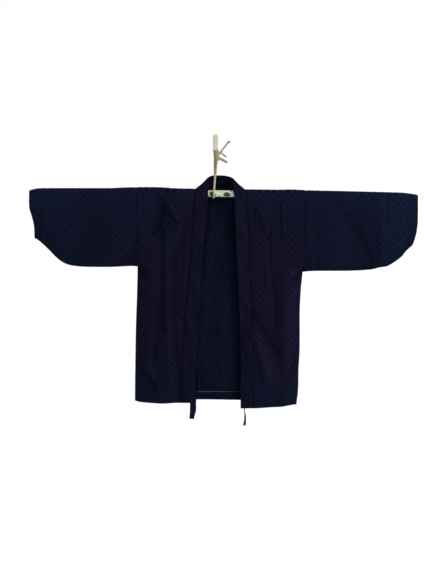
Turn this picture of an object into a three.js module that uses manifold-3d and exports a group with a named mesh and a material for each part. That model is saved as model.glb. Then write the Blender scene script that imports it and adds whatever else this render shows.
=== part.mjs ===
import * as THREE from 'three';
import { mergeVertices } from 'three/addons/utils/BufferGeometryUtils.js';
import Module from 'manifold-3d';

// A hanten, a short quilted Japanese jacket, hung flat on a cloth-covered rod, which a cord
// carries from a wall hook. Sizes are in millimetres. X runs to the right as seen from the
// front, Y towards the wall and Z up. The origin is the middle of the hook's back face.
// Left and right are as seen from the front. A place on the cloth is given by x, across the
// garment, and run, the way along the cloth from its fold over the rod: the front's run is
// positive and the back's negative.

// Driving dimensions

const cloth = {
  thickness: 2.4,
  relief: 1.0,
  foldRadius: 11.8,
  seamGap: 0.3,
  seamInset: 3.0,
  closingReach: 70,
};

const quilt = {
  halfWidth: 13,
  halfHeight: 13.5,
  margin: 4,
  innerMargin: 9,
};

const hem = {
  turnUp: 26,
  turnThickness: 2.2,
  turnEdge: 1.5,
  frontRun: 710,
  backRun: 698.5,
};

const rod = {
  radius: 10.8,
  y: -30,
  highX: 8,
  highZ: -169.6,
  tilt: 0.0119,
  bow: 4,
  bowReach: 554,
  leftEnd: -579.5,
  rightEnd: 608.5,
  sides: 16,
  steps: 8,
};

// How far the empty sleeve ends droop past the ends of the rod
const droop = { left: 7, right: 2.7, reach: 36 };

// How far the cloth stands up from the rod at the shoulder seams
const foldLift = [
  { x: -345, lift: 0 },
  { x: -282, lift: 3 },
  { x: -205, lift: 3.9 },
  { x: -172, lift: 3 },
  { x: -146, lift: 1.2 },
  { x: -110, lift: 0 },
  { x: 200, lift: 0 },
  { x: 250, lift: 1.6 },
  { x: 312, lift: 0 },
];

const armhole = { left: 265, right: 274, rows: 20 };

const backNeck = { leftX: -61, rightX: 91, ease: 9, easeFall: 80 };

const collar = {
  thickness: 5,
  cells: 4,
  innerCells: 2,
  innerStep: 3,
  seamGap: 0.55,
  neckGap: 1.2,
  neckLean: { y: -0.4, z: 0.9 },
  neckFrom: -45,
  neckTo: 225,
};

const sleeveCells = { left: 27, right: 29 };

// Outlines of the cut pieces, as runs along the cloth and places across it

const sideEdge = {
  left: [
    { run: 0, x: -262.7 },
    { run: 265, x: -258.2 },
    { run: 342, x: -259.5 },
    { run: 474, x: -263.7 },
    { run: 672, x: -266.6 },
    { run: 709, x: -266.5 },
  ],
  right: [
    { run: 0, x: 298.3 },
    { run: 274, x: 287.5 },
    { run: 333, x: 282 },
    { run: 399, x: 278.6 },
    { run: 531, x: 278 },
    { run: 597, x: 274.4 },
    { run: 663, x: 273 },
    { run: 712, x: 267.4 },
  ],
};

const collarSeam = {
  left: [
    { run: -13.5, x: -61 },
    { run: 0, x: -66 },
    { run: 11, x: -69.3 },
    { run: 169, x: -77.2 },
    { run: 380, x: -95.7 },
    { run: 539, x: -108.9 },
    { run: 712, x: -117.4 },
  ],
  right: [
    { run: -13.5, x: 91 },
    { run: 0, x: 96.5 },
    { run: 22, x: 103 },
    { run: 137, x: 106.5 },
    { run: 246, x: 111 },
    { run: 371, x: 115.4 },
    { run: 475, x: 118.4 },
    { run: 605, x: 120.6 },
    { run: 722, x: 121 },
  ],
};

const centreBack = [
  { run: 13, x: 17 },
  { run: 300, x: 22 },
  { run: 700, x: 28 },
];

const hemLine = {
  front: [
    { x: -266, run: 708.5 },
    { x: -249, run: 713 },
    { x: -183, run: 717.5 },
    { x: -117, run: 711.5 },
    { x: 117, run: 724.5 },
    { x: 186, run: 721.4 },
    { x: 219, run: 720 },
    { x: 264, run: 713 },
  ],
  back: [
    { x: -266, run: 708.5 },
    { x: -150, run: 702 },
    { x: 18, run: hem.backRun },
    { x: 150, run: 701 },
    { x: 264, run: 713 },
  ],
};

const cuffEdge = {
  left: [
    { run: 0, x: -615.5 },
    { run: 60, x: -615 },
    { run: 95, x: -606 },
    { run: 125, x: -600 },
    { run: 165, x: -598.5 },
  ],
  right: [
    { run: 0, x: 668.3 },
    { run: 90, x: 667.5 },
    { run: 123, x: 664.6 },
    { run: 156, x: 657 },
    { run: 172, x: 651 },
  ],
};

// The sewn bottom of each sleeve, with its round corner, by the distance from the cuff
const sleeveBottom = {
  left: [
    { fromCuff: 0, run: 165.5 },
    { fromCuff: 15, run: 176.8 },
    { fromCuff: 34, run: 194 },
    { fromCuff: 52, run: 211.5 },
    { fromCuff: 66, run: 226.5 },
    { fromCuff: 86, run: 243.5 },
    { fromCuff: 105, run: 254 },
    { fromCuff: 126, run: 259.5 },
    { fromCuff: 168, run: 263.5 },
    { fromCuff: 283, run: 264 },
    { fromCuff: 316, run: 263.5 },
    { fromCuff: 341, run: 265 },
  ],
  right: [
    { fromCuff: 0, run: 173.5 },
    { fromCuff: 21, run: 194.5 },
    { fromCuff: 36, run: 214.5 },
    { fromCuff: 57, run: 231.5 },
    { fromCuff: 83, run: 247.5 },
    { fromCuff: 110, run: 253 },
    { fromCuff: 137, run: 260.3 },
    { fromCuff: 203, run: 266 },
    { fromCuff: 335, run: 270 },
    { fromCuff: 364, run: 274 },
  ],
};

// The collar's free edge. The way along the collar is minus the run on the left front,
// goes on across the back of the neck, and then down the right front.
const freeEdge = [
  { along: -713, x: -64.7, y: -42.5, z: -863 },
  { along: -592, x: -66.7, y: -40, z: -742.5 },
  { along: -539, x: -64, y: -39, z: -690 },
  { along: -433, x: -58.7, y: -38, z: -584 },
  { along: -328, x: -50.8, y: -38, z: -478.5 },
  { along: -196, x: -42.9, y: -40, z: -346.5 },
  { along: -117, x: -29.7, y: -42.5, z: -267 },
  { along: -40, x: -27.2, y: -44.5, z: -190 },
  { along: -18, x: -27, y: -44.8, z: -166 },
  { along: -9, x: -26.3, y: -43.5, z: -148 },
  { along: 0, x: -25.3, y: -37.5, z: -130 },
  { along: 7, x: -24.6, y: -29, z: -119.5 },
  { along: 13.5, x: -22, y: -21.5, z: -115 },
  { along: 30, x: -15, y: -15, z: -110.4 },
  { along: 55, x: -3, y: -12, z: -108.2 },
  { along: 90, x: 15, y: -11, z: -108.3 },
  { along: 125, x: 33, y: -12, z: -109.6 },
  { along: 149, x: 48, y: -15, z: -113.5 },
  { along: 165.5, x: 55, y: -21.5, z: -118 },
  { along: 172, x: 58, y: -29, z: -122.5 },
  { along: 179, x: 59.5, y: -37.5, z: -131 },
  { along: 188, x: 60.5, y: -43.5, z: -149 },
  { along: 197, x: 61, y: -44.8, z: -167 },
  { along: 219, x: 61.6, y: -44.5, z: -191 },
  { along: 290, x: 64, y: -43.5, z: -265 },
  { along: 446, x: 71.6, y: -41, z: -421 },
  { along: 550, x: 76.9, y: -39.5, z: -525.4 },
  { along: 706, x: 82.2, y: -39.5, z: -681.5 },
  { along: 903, x: 84.8, y: -42, z: -877.8 },
];

// The largest folds: soft ridges and, with a negative rise, troughs
const frontFolds = [
  { fromX: -173, fromRun: 60, toX: -182, toRun: 470, width: 27, rise: -4 },
  { fromX: -180, fromRun: 62, toX: -134, toRun: 177, width: 27, rise: -3 },
  { fromX: -140, fromRun: 110, toX: -146, toRun: 430, width: 34, rise: 5 },
  { fromX: -243, fromRun: 573, toX: -172, toRun: 690, width: 28, rise: 4 },
  { fromX: -225, fromRun: 500, toX: -205, toRun: 640, width: 30, rise: -3.5 },
  { fromX: -243, fromRun: 290, toX: -205, toRun: 400, width: 26, rise: 2.5 },
  { fromX: 212, fromRun: 55, toX: 206, toRun: 466, width: 27, rise: -4 },
  { fromX: 165, fromRun: 120, toX: 168, toRun: 400, width: 32, rise: 3.5 },
  { fromX: 122, fromRun: 416, toX: 196, toRun: 531, width: 28, rise: -3.5 },
  { fromX: 140, fromRun: 498, toX: 176, toRun: 625, width: 32, rise: 5.5 },
  { fromX: 236, fromRun: 420, toX: 228, toRun: 700, width: 32, rise: 4 },
  { fromX: 262, fromRun: 300, toX: 225, toRun: 380, width: 26, rise: 2.5 },
  { fromX: -420, fromRun: 40, toX: -455, toRun: 215, width: 34, rise: -3.5 },
  { fromX: -340, fromRun: 60, toX: -330, toRun: 220, width: 36, rise: 3.5 },
  { fromX: -535, fromRun: 50, toX: -520, toRun: 190, width: 34, rise: 4 },
  { fromX: 427, fromRun: 50, toX: 509, toRun: 235, width: 34, rise: -4 },
  { fromX: 372, fromRun: 60, toX: 395, toRun: 230, width: 34, rise: 3.5 },
  { fromX: 568, fromRun: 50, toX: 575, toRun: 200, width: 36, rise: 4 },
];

const backFolds = [
  { fromX: -185, fromRun: 80, toX: -170, toRun: 560, width: 40, rise: 5 },
  { fromX: -105, fromRun: 200, toX: -96, toRun: 690, width: 36, rise: -4 },
  { fromX: -20, fromRun: 260, toX: -34, toRun: 690, width: 36, rise: 4.5 },
  { fromX: 60, fromRun: 180, toX: 74, toRun: 690, width: 38, rise: -4 },
  { fromX: 150, fromRun: 120, toX: 140, toRun: 640, width: 42, rise: 5.5 },
  { fromX: 228, fromRun: 330, toX: 216, toRun: 700, width: 34, rise: -3.5 },
  { fromX: -440, fromRun: 40, toX: -410, toRun: 220, width: 38, rise: 4 },
  { fromX: -350, fromRun: 60, toX: -345, toRun: 220, width: 34, rise: -3.5 },
  { fromX: 410, fromRun: 50, toX: 440, toRun: 225, width: 38, rise: 4.5 },
  { fromX: 520, fromRun: 50, toX: 535, toRun: 210, width: 36, rise: -3.5 },
];

// The folds start this far below the rod, because the cloth lies close on it above that
const foldStart = { from: 6, full: 60 };

// How much more slowly a fold fades out along the cloth than across it
const foldFade = 2;

// Steps over which the slope of a face is read
const slopeStep = { run: 0.4, share: 0.002 };

const tie = { width: 19, thickness: 2.2 };

// Sections down each tie: its middle, and how far its width turns from X towards Y
const tieSections = {
  left: [
    { x: -71, y: -35.6, z: -728, turn: 5 },
    { x: -69, y: -35, z: -744, turn: -4 },
    { x: -62.5, y: -33, z: -762, turn: -45 },
    { x: -61, y: -32.5, z: -790, turn: -58 },
    { x: -65, y: -33, z: -822, turn: -45 },
    { x: -73.5, y: -35.6, z: -850, turn: -12 },
    { x: -74.6, y: -36.4, z: -872, turn: -4 },
    { x: -75.5, y: -37, z: -892, turn: -20 },
    { x: -78, y: -37, z: -914, turn: -46 },
  ],
  right: [
    { x: 98, y: -37.8, z: -728, turn: -6 },
    { x: 98, y: -37.6, z: -752, turn: -6 },
    { x: 97.5, y: -34, z: -790, turn: 0 },
    { x: 97, y: -32, z: -830, turn: 14 },
    { x: 98, y: -29.8, z: -862, turn: 50 },
    { x: 98.6, y: -30, z: -892, turn: 80 },
    { x: 98, y: -31, z: -915, turn: 84 },
    { x: 96.4, y: -32, z: -936, turn: 76 },
  ],
};

const hook = {
  topRadius: 9.5,
  bottomHalfWidth: 7,
  top: 27.4,
  bottom: -27.4,
  plateThickness: 3,
  barRadius: 2.4,
  barZ: -22,
  lipTop: -4,
  lipFront: -27.2,
  lipThickness: 3,
  corner: 2,
  overlap: 1,
};

const cord = {
  diameter: 5.2,
  sides: 8,
  stepLength: 8.4,
  bowDiameter: 7.6,
};

// Routes of the cord: the loop from the knot over the hook, down behind the rod, round it and
// back up to the knot, and the ends that stand out of the knot
const cordRoutes = {
  loop: [
    [6.3, -20.9, -30.4], [6.4, -20.3, -26], [6.3, -20, -22], [4.5, -20, -17.4], [0, -20, -15.5],
    [-4.5, -20, -17.4], [-6.3, -20, -22], [-5.8, -20, -30], [-3.9, -19.6, -46], [-3.1, -19, -72],
    [-3.4, -18.2, -102], [-4.8, -17.3, -130], [-6.4, -16.1, -156], [-7, -15.6, -169.4],
    [-7, -19.8, -179.6], [-7, -30, -183.8], [-7, -40.2, -179.6], [-7, -44.4, -169.4],
    [-6.4, -43.2, -156], [-3, -39, -134], [0.6, -34, -106], [3.8, -29.4, -80], [5.8, -24.8, -58.6],
  ],
  longTail: [
    [11.8, -20.6, -35.8], [16.8, -21, -33.6], [25, -22.5, -23.6], [33.6, -24.6, -12.4],
    [41.6, -26.4, -2.6],
  ],
  shortTail: [
    [12, -26.6, -37.8], [17, -27, -35.8], [23, -27.8, -39.6], [29, -28.8, -44], [35.4, -30, -48.8],
  ],
  bow: [
    [12.1, -23.3, -51.8], [20, -24.2, -56.2], [28.6, -25.4, -60.8], [38, -26.4, -65.4],
  ],
};

const knot = { x: 6.5, y: -23, z: -44, across: 13, deep: 12, high: 26 };
const endKnot = { x: 44.4, y: -27, z: 1, radius: 4.2 };

// Colours and finishes
const materials = {
  quiltedCloth: new THREE.MeshStandardMaterial({ color: '#12152a', roughness: 0.95, metalness: 0 }),
  bandCloth: new THREE.MeshStandardMaterial({ color: '#121020', roughness: 0.95, metalness: 0 }),
  printedCloth: new THREE.MeshStandardMaterial({ color: '#cfd0bd', roughness: 0.9, metalness: 0 }),
  cordCotton: new THREE.MeshStandardMaterial({ color: '#b7ab8b', roughness: 0.9, metalness: 0 }),
  hookPlastic: new THREE.MeshStandardMaterial({ color: '#d8d2c2', roughness: 0.45, metalness: 0 }),
};

// Smooth value from a table's column at a place along another column
function readTable(table, key, value, at) {
  const last = table.length - 1;
  if (at <= table[0][key]) return table[0][value];
  if (at >= table[last][key]) return table[last][value];
  let row = 0;
  while (table[row + 1][key] < at) row += 1;
  const slope = (index) => {
    const before = table[Math.max(index - 1, 0)];
    const after = table[Math.min(index + 1, last)];
    return (after[value] - before[value]) / (after[key] - before[key]);
  };
  const start = table[row];
  const end = table[row + 1];
  const length = end[key] - start[key];
  const t = (at - start[key]) / length;
  const startWeight = (1 + 2 * t) * (1 - t) ** 2;
  const endWeight = t * t * (3 - 2 * t);
  const startSlope = t * (1 - t) ** 2 * length * slope(row);
  const endSlope = t * t * (t - 1) * length * slope(row + 1);
  return startWeight * start[value] + endWeight * end[value] + startSlope + endSlope;
}

function smoothStep(from, to, at) {
  const t = Math.min(Math.max((at - from) / (to - from), 0), 1);
  return t * t * (3 - 2 * t);
}

function rodAxisZ(x) {
  const across = x - rod.highX;
  return rod.highZ - rod.tilt * across - rod.bow * (across / rod.bowReach) ** 2;
}

// Height of the line that the cloth turns round, which droops past the rod's ends
function foldAxisZ(x) {
  const leftPast = Math.max(rod.leftEnd - x, 0) / droop.reach;
  const rightPast = Math.max(x - rod.rightEnd, 0) / droop.reach;
  const sag = droop.left * leftPast ** 1.5 + droop.right * rightPast ** 1.5;
  return rodAxisZ(x) - sag + readTable(foldLift, 'x', 'lift', x);
}

const quarterTurn = cloth.foldRadius * Math.PI / 2;

function heightOf(x, run) {
  return foldAxisZ(x) - (Math.abs(run) - quarterTurn);
}

// Sum of the folds in a table at a place on the cloth
function foldRise(folds, x, run) {
  let rise = 0;
  for (const fold of folds) {
    const alongX = fold.toX - fold.fromX;
    const alongRun = fold.toRun - fold.fromRun;
    const lengthSquared = alongX ** 2 + alongRun ** 2;
    const raw = ((x - fold.fromX) * alongX + (run - fold.fromRun) * alongRun) / lengthSquared;
    const t = Math.min(Math.max(raw, 0), 1);
    const offX = x - fold.fromX - t * alongX;
    const offRun = (run - fold.fromRun - t * alongRun) / foldFade;
    rise += fold.rise * Math.exp(-(offX ** 2 + offRun ** 2) / fold.width ** 2);
  }
  return rise;
}

// The back hangs a little slack between the shoulders, where the neck is cut away
function neckEase(x, drop) {
  const share = (x - backNeck.leftX) / (backNeck.rightX - backNeck.leftX);
  if (share <= 0 || share >= 1) return 0;
  return backNeck.ease * Math.sin(Math.PI * share) ** 2 * Math.exp(-drop / backNeck.easeFall);
}

// Inner face of the cloth. Open is 1 where front and back hang a rod apart, 0 at a sewn edge.
function innerFace(x, run, open) {
  const reach = Math.abs(run);
  const radius = cloth.foldRadius;
  const drop = reach - quarterTurn;
  if (drop <= 0) {
    const turn = run / radius;
    const ease = run < 0 ? neckEase(x, 0) : 0;
    const y = rod.y - radius * Math.sin(turn) + ease;
    return new THREE.Vector3(x, y, foldAxisZ(x) + radius * Math.cos(turn));
  }
  const start = smoothStep(foldStart.from, foldStart.full, drop);
  const folds = run > 0 ? frontFolds : backFolds;
  const rise = start * foldRise(folds, x, reach) + (run < 0 ? neckEase(x, drop) : 0);
  const half = open * (radius + rise);
  return new THREE.Vector3(x, rod.y + (run > 0 ? -half : half), foldAxisZ(x) - drop);
}

function openAt(distance) {
  const t = Math.min(Math.max(distance / cloth.closingReach, 0), 1);
  return 1 - (1 - t) ** 2;
}

// Outward direction of a face given as a function of x and run
function outwardNormal(face, x, run) {
  const step = slopeStep.run;
  const across = face(x + step, run).sub(face(x - step, run));
  const along = face(x, run + step).sub(face(x, run - step));
  return along.cross(across).normalize();
}

// A closed wall under construction
function newWall() {
  return { points: [], faces: [], edges: new Set() };
}

function addPoint(wall, point) {
  wall.points.push(point.x, point.y, point.z);
  return wall.points.length / 3 - 1;
}

function addFace(wall, a, b, c) {
  wall.faces.push(a, b, c);
  wall.edges.add(`${a} ${b}`).add(`${b} ${c}`).add(`${c} ${a}`);
}

// Fills the strip between two rows of points, turning each quilted square along its stitches
function zipRows(wall, lower, upper, flipped) {
  const face = (a, b, c) => {
    if (flipped) addFace(wall, a.id, c.id, b.id);
    else addFace(wall, a.id, b.id, c.id);
  };
  const level = (a, b) => Math.abs(a.at - b.at) < 0.01;
  let i = 0;
  let j = 0;
  while (i < lower.length - 1 || j < upper.length - 1) {
    const nextLower = lower[i + 1];
    const nextUpper = upper[j + 1];
    const square = nextLower && nextUpper && level(lower[i], upper[j]) && level(nextLower, nextUpper);
    if (square && lower[i].low && nextUpper.low) {
      face(lower[i], nextLower, nextUpper);
      face(lower[i], nextUpper, upper[j]);
      i += 1;
      j += 1;
    } else if (square) {
      face(lower[i], nextLower, upper[j]);
      face(nextLower, nextUpper, upper[j]);
      i += 1;
      j += 1;
    } else if (!nextUpper || (nextLower && nextLower.at <= nextUpper.at)) {
      face(lower[i], nextLower, upper[j]);
      i += 1;
    } else {
      face(lower[i], nextUpper, upper[j]);
      j += 1;
    }
  }
}

// Closes the edge of a wall between its outer and inner faces
function zipRim(wall, outer, inner) {
  const flipped = wall.edges.has(`${outer[0].id} ${outer[1].id}`);
  zipRows(wall, outer, inner, flipped);
}

function finishWall(wall) {
  const geometry = new THREE.BufferGeometry();
  geometry.setAttribute('position', new THREE.Float32BufferAttribute(wall.points, 3));
  geometry.setIndex(wall.faces);
  if (signedVolume(wall) < 0) {
    for (let index = 0; index < wall.faces.length; index += 3) {
      const kept = wall.faces[index + 1];
      wall.faces[index + 1] = wall.faces[index + 2];
      wall.faces[index + 2] = kept;
    }
    geometry.setIndex(wall.faces);
  }
  geometry.computeVertexNormals();
  return geometry;
}

function signedVolume(wall) {
  const corner = (index) => new THREE.Vector3().fromArray(wall.points, 3 * wall.faces[index]);
  let volume = 0;
  for (let index = 0; index < wall.faces.length; index += 3) {
    volume += corner(index).dot(corner(index + 1).cross(corner(index + 2))) / 6;
  }
  return volume;
}

// Quilting: whole rows and columns cross the stitches, half rows lie between them
function quiltHeight(column, row) {
  if (!Number.isInteger(row)) return 0.5;
  return (column + row) % 2 === 0 ? 0 : 1;
}

// Rows that the curve over the rod needs besides the quilted ones
const foldRows = [-0.5, 0.5];

function rowNumbers(last, step) {
  const rows = [...foldRows];
  for (let row = 0; row <= last; row += 1) {
    const kept = row % step === 0 || row <= 2 || row === armhole.rows || row === last;
    if (kept) rows.push(row);
    if (kept && row > 0) rows.push(-row);
  }
  return rows.sort((a, b) => b - a);
}

function rowRun(side, row) {
  const reach = Math.abs(row);
  const rowStep = armhole[side] / armhole.rows;
  const below = Math.max(reach - armhole.rows, 0);
  return Math.sign(row) * ((reach - below) * rowStep + below * quilt.halfHeight);
}

// A body half: front, shoulder and back in one cut piece, closed down its side seam
function bodyShape(side) {
  const sign = side === 'left' ? -1 : 1;
  const edgeAt = (run) => readTable(sideEdge[side], 'run', 'x', Math.abs(run));
  const face = (x, run) => {
    const inward = Math.max(sign * (edgeAt(run) - x), 0);
    const above = Math.max(armhole[side] - Math.abs(run), 0);
    return innerFace(x, run, openAt(Math.hypot(inward, above)));
  };
  const openEdgeAt = (run, row) => {
    if (row >= -1) return readTable(collarSeam[side], 'run', 'x', run);
    return readTable(centreBack, 'run', 'x', Math.abs(run)) + sign * cloth.seamGap / 2;
  };
  const hemAt = (x, row) => readTable(hemLine[row > 0 ? 'front' : 'back'], 'x', 'run', x);
  return { side, sign, edgeAt, face, openEdgeAt, hemAt };
}

function lastQuiltRow(side) {
  const shortest = hem.backRun - quilt.halfHeight / 2 - armhole[side];
  return armhole.rows + Math.floor(shortest / quilt.halfHeight);
}

function columnX(column) {
  return centreBack[0].x + column * quilt.halfWidth;
}

// Quilting columns between two places across the garment
function columnsBetween(firstX, secondX, step) {
  const first = Math.ceil((Math.min(firstX, secondX) - columnX(0)) / quilt.halfWidth);
  const last = Math.floor((Math.max(firstX, secondX) - columnX(0)) / quilt.halfWidth);
  const columns = [];
  for (let column = first; column <= last; column += 1) {
    if (column % step === 0) columns.push(column);
  }
  return columns;
}

// One row of points across a body half, from its side edge to its open edge
function bodyRow(wall, shape, layer, row) {
  const { sign } = shape;
  const edgeRun = row.runAt(shape.edgeAt(row.run));
  const edgeX = shape.edgeAt(edgeRun);
  const openX = shape.openEdgeAt(row.run, row.number);
  const flatLift = layer.outer ? cloth.thickness : -row.turned;
  const place = (x, run, lift) => {
    const base = shape.face(x, run);
    return addPoint(wall, base.addScaledVector(outwardNormal(shape.face, x, run), lift));
  };
  const entry = (id, x, low) => ({ id, at: -sign * x, low });
  const points = [];
  for (const column of columnsBetween(edgeX, openX, layer.columnStep)) {
    const x = columnX(column);
    if (Math.abs(x - edgeX) < layer.margin || Math.abs(x - openX) < quilt.margin) continue;
    const high = row.plain ? 0 : quiltHeight(column, row.number);
    const lift = layer.outer ? cloth.thickness + cloth.relief * high : flatLift;
    points.push(entry(place(x, row.runAt(x), lift), x, high === 0));
  }
  points.sort((a, b) => a.at - b.at);
  points.push(entry(place(openX, row.runAt(openX), flatLift), openX, true));
  if (Math.abs(row.number) >= armhole.rows) {
    const key = `${layer.name} ${Math.abs(row.number)}`;
    const inset = layer.outer ? 0 : cloth.seamInset;
    const z = heightOf(edgeX, edgeRun);
    shape.sewn[key] ??= addPoint(wall, new THREE.Vector3(edgeX - sign * inset, rod.y, z));
    points.unshift(entry(shape.sewn[key], edgeX, true));
  } else {
    const id = place(edgeX - sign * cloth.seamGap / 2, edgeRun, flatLift);
    points.unshift(entry(id, edgeX, true));
  }
  return points;
}

// The rows of one face of a body half, from the front hem over the shoulder to the back hem
function bodyRows(shape, layer) {
  const last = lastQuiltRow(shape.side);
  const rows = rowNumbers(last, layer.rowStep).map((number) => {
    const run = rowRun(shape.side, number);
    return { number, run, runAt: () => run, turned: 0, plain: false };
  });
  const hemRow = (direction, order, lift, turned) => {
    const runAt = (x) => direction * (shape.hemAt(x, direction) - lift);
    const run = runAt(shape.edgeAt(hem.backRun));
    return { number: direction * (last + order), run, runAt, turned, plain: true };
  };
  const hemRows = (direction) => {
    if (layer.outer) return [hemRow(direction, 3, 0, 0)];
    return [
      hemRow(direction, 1, hem.turnUp + hem.turnEdge, 0),
      hemRow(direction, 2, hem.turnUp, hem.turnThickness),
      hemRow(direction, 3, 0, hem.turnThickness),
    ];
  };
  const limit = layer.outer ? Infinity : hem.backRun - hem.turnUp - quilt.halfHeight;
  const kept = rows.filter((row) => Math.abs(row.run) < limit);
  return [...hemRows(1).reverse(), ...kept, ...hemRows(-1)];
}

// Fills one face of a body half and returns its edges
function bodyFace(wall, shape, layer) {
  const paths = { frontHem: [], seam: [], neck: [], centre: [], backHem: [], armhole: [] };
  let above = null;
  const flipped = (shape.sign > 0) !== layer.outer;
  for (const row of bodyRows(shape, layer)) {
    const points = bodyRow(wall, shape, layer, row);
    let whole = points;
    if (row.number === -1) {
      const centreX = shape.openEdgeAt(row.run, -2);
      whole = [...points, ...neckPoints(wall, shape, layer, row, centreX)];
      paths.neck = whole.slice(points.length - 1);
    }
    if (above) zipRows(wall, above, points, flipped);
    const openEnd = points[points.length - 1];
    if (row.number >= -1) paths.seam.push({ id: openEnd.id, at: -row.run });
    if (row.number <= -1) paths.centre.push({ id: whole[whole.length - 1].id, at: -row.run });
    if (Math.abs(row.number) <= armhole.rows) paths.armhole.push({ id: points[0].id, at: -row.run });
    if (!above) paths.frontHem = points;
    above = whole;
    paths.backHem = points;
  }
  return paths;
}

// The rest of the row that runs along the back of the neck, between collar seam and centre back
function neckPoints(wall, shape, layer, row, centreX) {
  const points = [];
  const cornerX = shape.openEdgeAt(row.run, row.number);
  const place = (x) => {
    const normal = outwardNormal(shape.face, x, row.run);
    const lift = layer.outer ? cloth.thickness : 0;
    return addPoint(wall, shape.face(x, row.run).addScaledVector(normal, lift));
  };
  for (const column of columnsBetween(cornerX, centreX, layer.columnStep)) {
    const x = columnX(column);
    const clear = Math.min(Math.abs(x - cornerX), Math.abs(x - centreX)) > quilt.margin;
    if (clear) points.push({ id: place(x), at: -shape.sign * x, low: true });
  }
  points.push({ id: place(centreX), at: -shape.sign * centreX, low: true });
  return points.sort((a, b) => a.at - b.at);
}

const outerLayer = { name: 'outer', outer: true, columnStep: 1, rowStep: 1, margin: quilt.margin };
const innerLayer = { name: 'inner', outer: false, columnStep: 2, rowStep: 4, margin: quilt.innerMargin };

function makeBody(side) {
  const wall = newWall();
  const shape = bodyShape(side);
  shape.sewn = {};
  const outer = bodyFace(wall, shape, outerLayer);
  const inner = bodyFace(wall, shape, innerLayer);
  for (const edge of Object.keys(outer)) zipRim(wall, outer[edge], inner[edge]);
  return finishWall(wall);
}

// A sleeve: one cut piece folded over the rod and sewn along its bottom and round corner
function sleeveShape(side) {
  const sign = side === 'left' ? -1 : 1;
  const cells = sleeveCells[side];
  const bottom = sleeveBottom[side];
  const length = bottom[bottom.length - 1].fromCuff;
  const placeX = (share, run) => {
    const armX = readTable(sideEdge[side], 'run', 'x', Math.abs(run)) + sign * cloth.seamGap / 2;
    const cuffX = readTable(cuffEdge[side], 'run', 'x', Math.abs(run));
    return armX + share * (cuffX - armX);
  };
  const bottomAt = (share) => readTable(bottom, 'fromCuff', 'run', (1 - share) * length);
  const slopeAt = (share) => (bottomAt(share + 0.01) - bottomAt(share - 0.01)) / (0.02 * length);
  const open = (share, run) => {
    const left = Math.max(bottomAt(share) - Math.abs(run), 0);
    return openAt(left / Math.hypot(1, slopeAt(share)));
  };
  const face = (share, run) => innerFace(placeX(share, run), run, open(share, run));
  return { side, sign, cells, placeX, bottomAt, face };
}

function sleeveNormal(shape, share, run) {
  const { run: runStep, share: shareStep } = slopeStep;
  const across = shape.face(share + shareStep, run).sub(shape.face(share - shareStep, run));
  const along = shape.face(share, run + runStep).sub(shape.face(share, run - runStep));
  return along.cross(across).multiplyScalar(shape.sign).normalize();
}

// One ring of points round a sleeve, from its bottom seam up the back, over and down the front
function sleeveRing(wall, shape, layer, column) {
  const share = column / shape.cells;
  const bottomRun = shape.bottomAt(share);
  const seamX = shape.placeX(share, bottomRun);
  const inset = layer.outer ? 0 : cloth.seamInset;
  const seam = new THREE.Vector3(seamX, rod.y, heightOf(seamX, bottomRun) + inset);
  const seamId = addPoint(wall, seam);
  const edge = column === 0 || column === shape.cells;
  const points = [{ id: seamId, at: -bottomRun, low: true }];
  const rows = rowNumbers(armhole.rows, layer.rowStep).reverse();
  for (const row of rows) {
    const run = rowRun(shape.side, row);
    if (Math.abs(run) > bottomRun - layer.margin) continue;
    const high = edge ? 0 : quiltHeight(column, row);
    const lift = layer.outer ? cloth.thickness + cloth.relief * high : 0;
    const base = shape.face(share, run);
    base.addScaledVector(sleeveNormal(shape, share, run), lift);
    points.push({ id: addPoint(wall, base), at: run, low: high === 0 });
  }
  points.push({ id: seamId, at: bottomRun, low: true });
  return points;
}

function sleeveFace(wall, shape, layer) {
  const rings = [];
  for (let column = 0; column <= shape.cells; column += 1) {
    const kept = column % layer.columnStep === 0 || column === shape.cells;
    if (kept) rings.push(sleeveRing(wall, shape, layer, column));
  }
  const flipped = (shape.sign > 0) === layer.outer;
  for (let index = 1; index < rings.length; index += 1) {
    zipRows(wall, rings[index - 1], rings[index], flipped);
  }
  return { armhole: rings[0], cuff: rings[rings.length - 1] };
}

function makeSleeve(side) {
  const wall = newWall();
  const shape = sleeveShape(side);
  const outer = sleeveFace(wall, shape, outerLayer);
  const inner = sleeveFace(wall, shape, innerLayer);
  zipRim(wall, outer.armhole, inner.armhole);
  zipRim(wall, outer.cuff, inner.cuff);
  return finishWall(wall);
}

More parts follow.
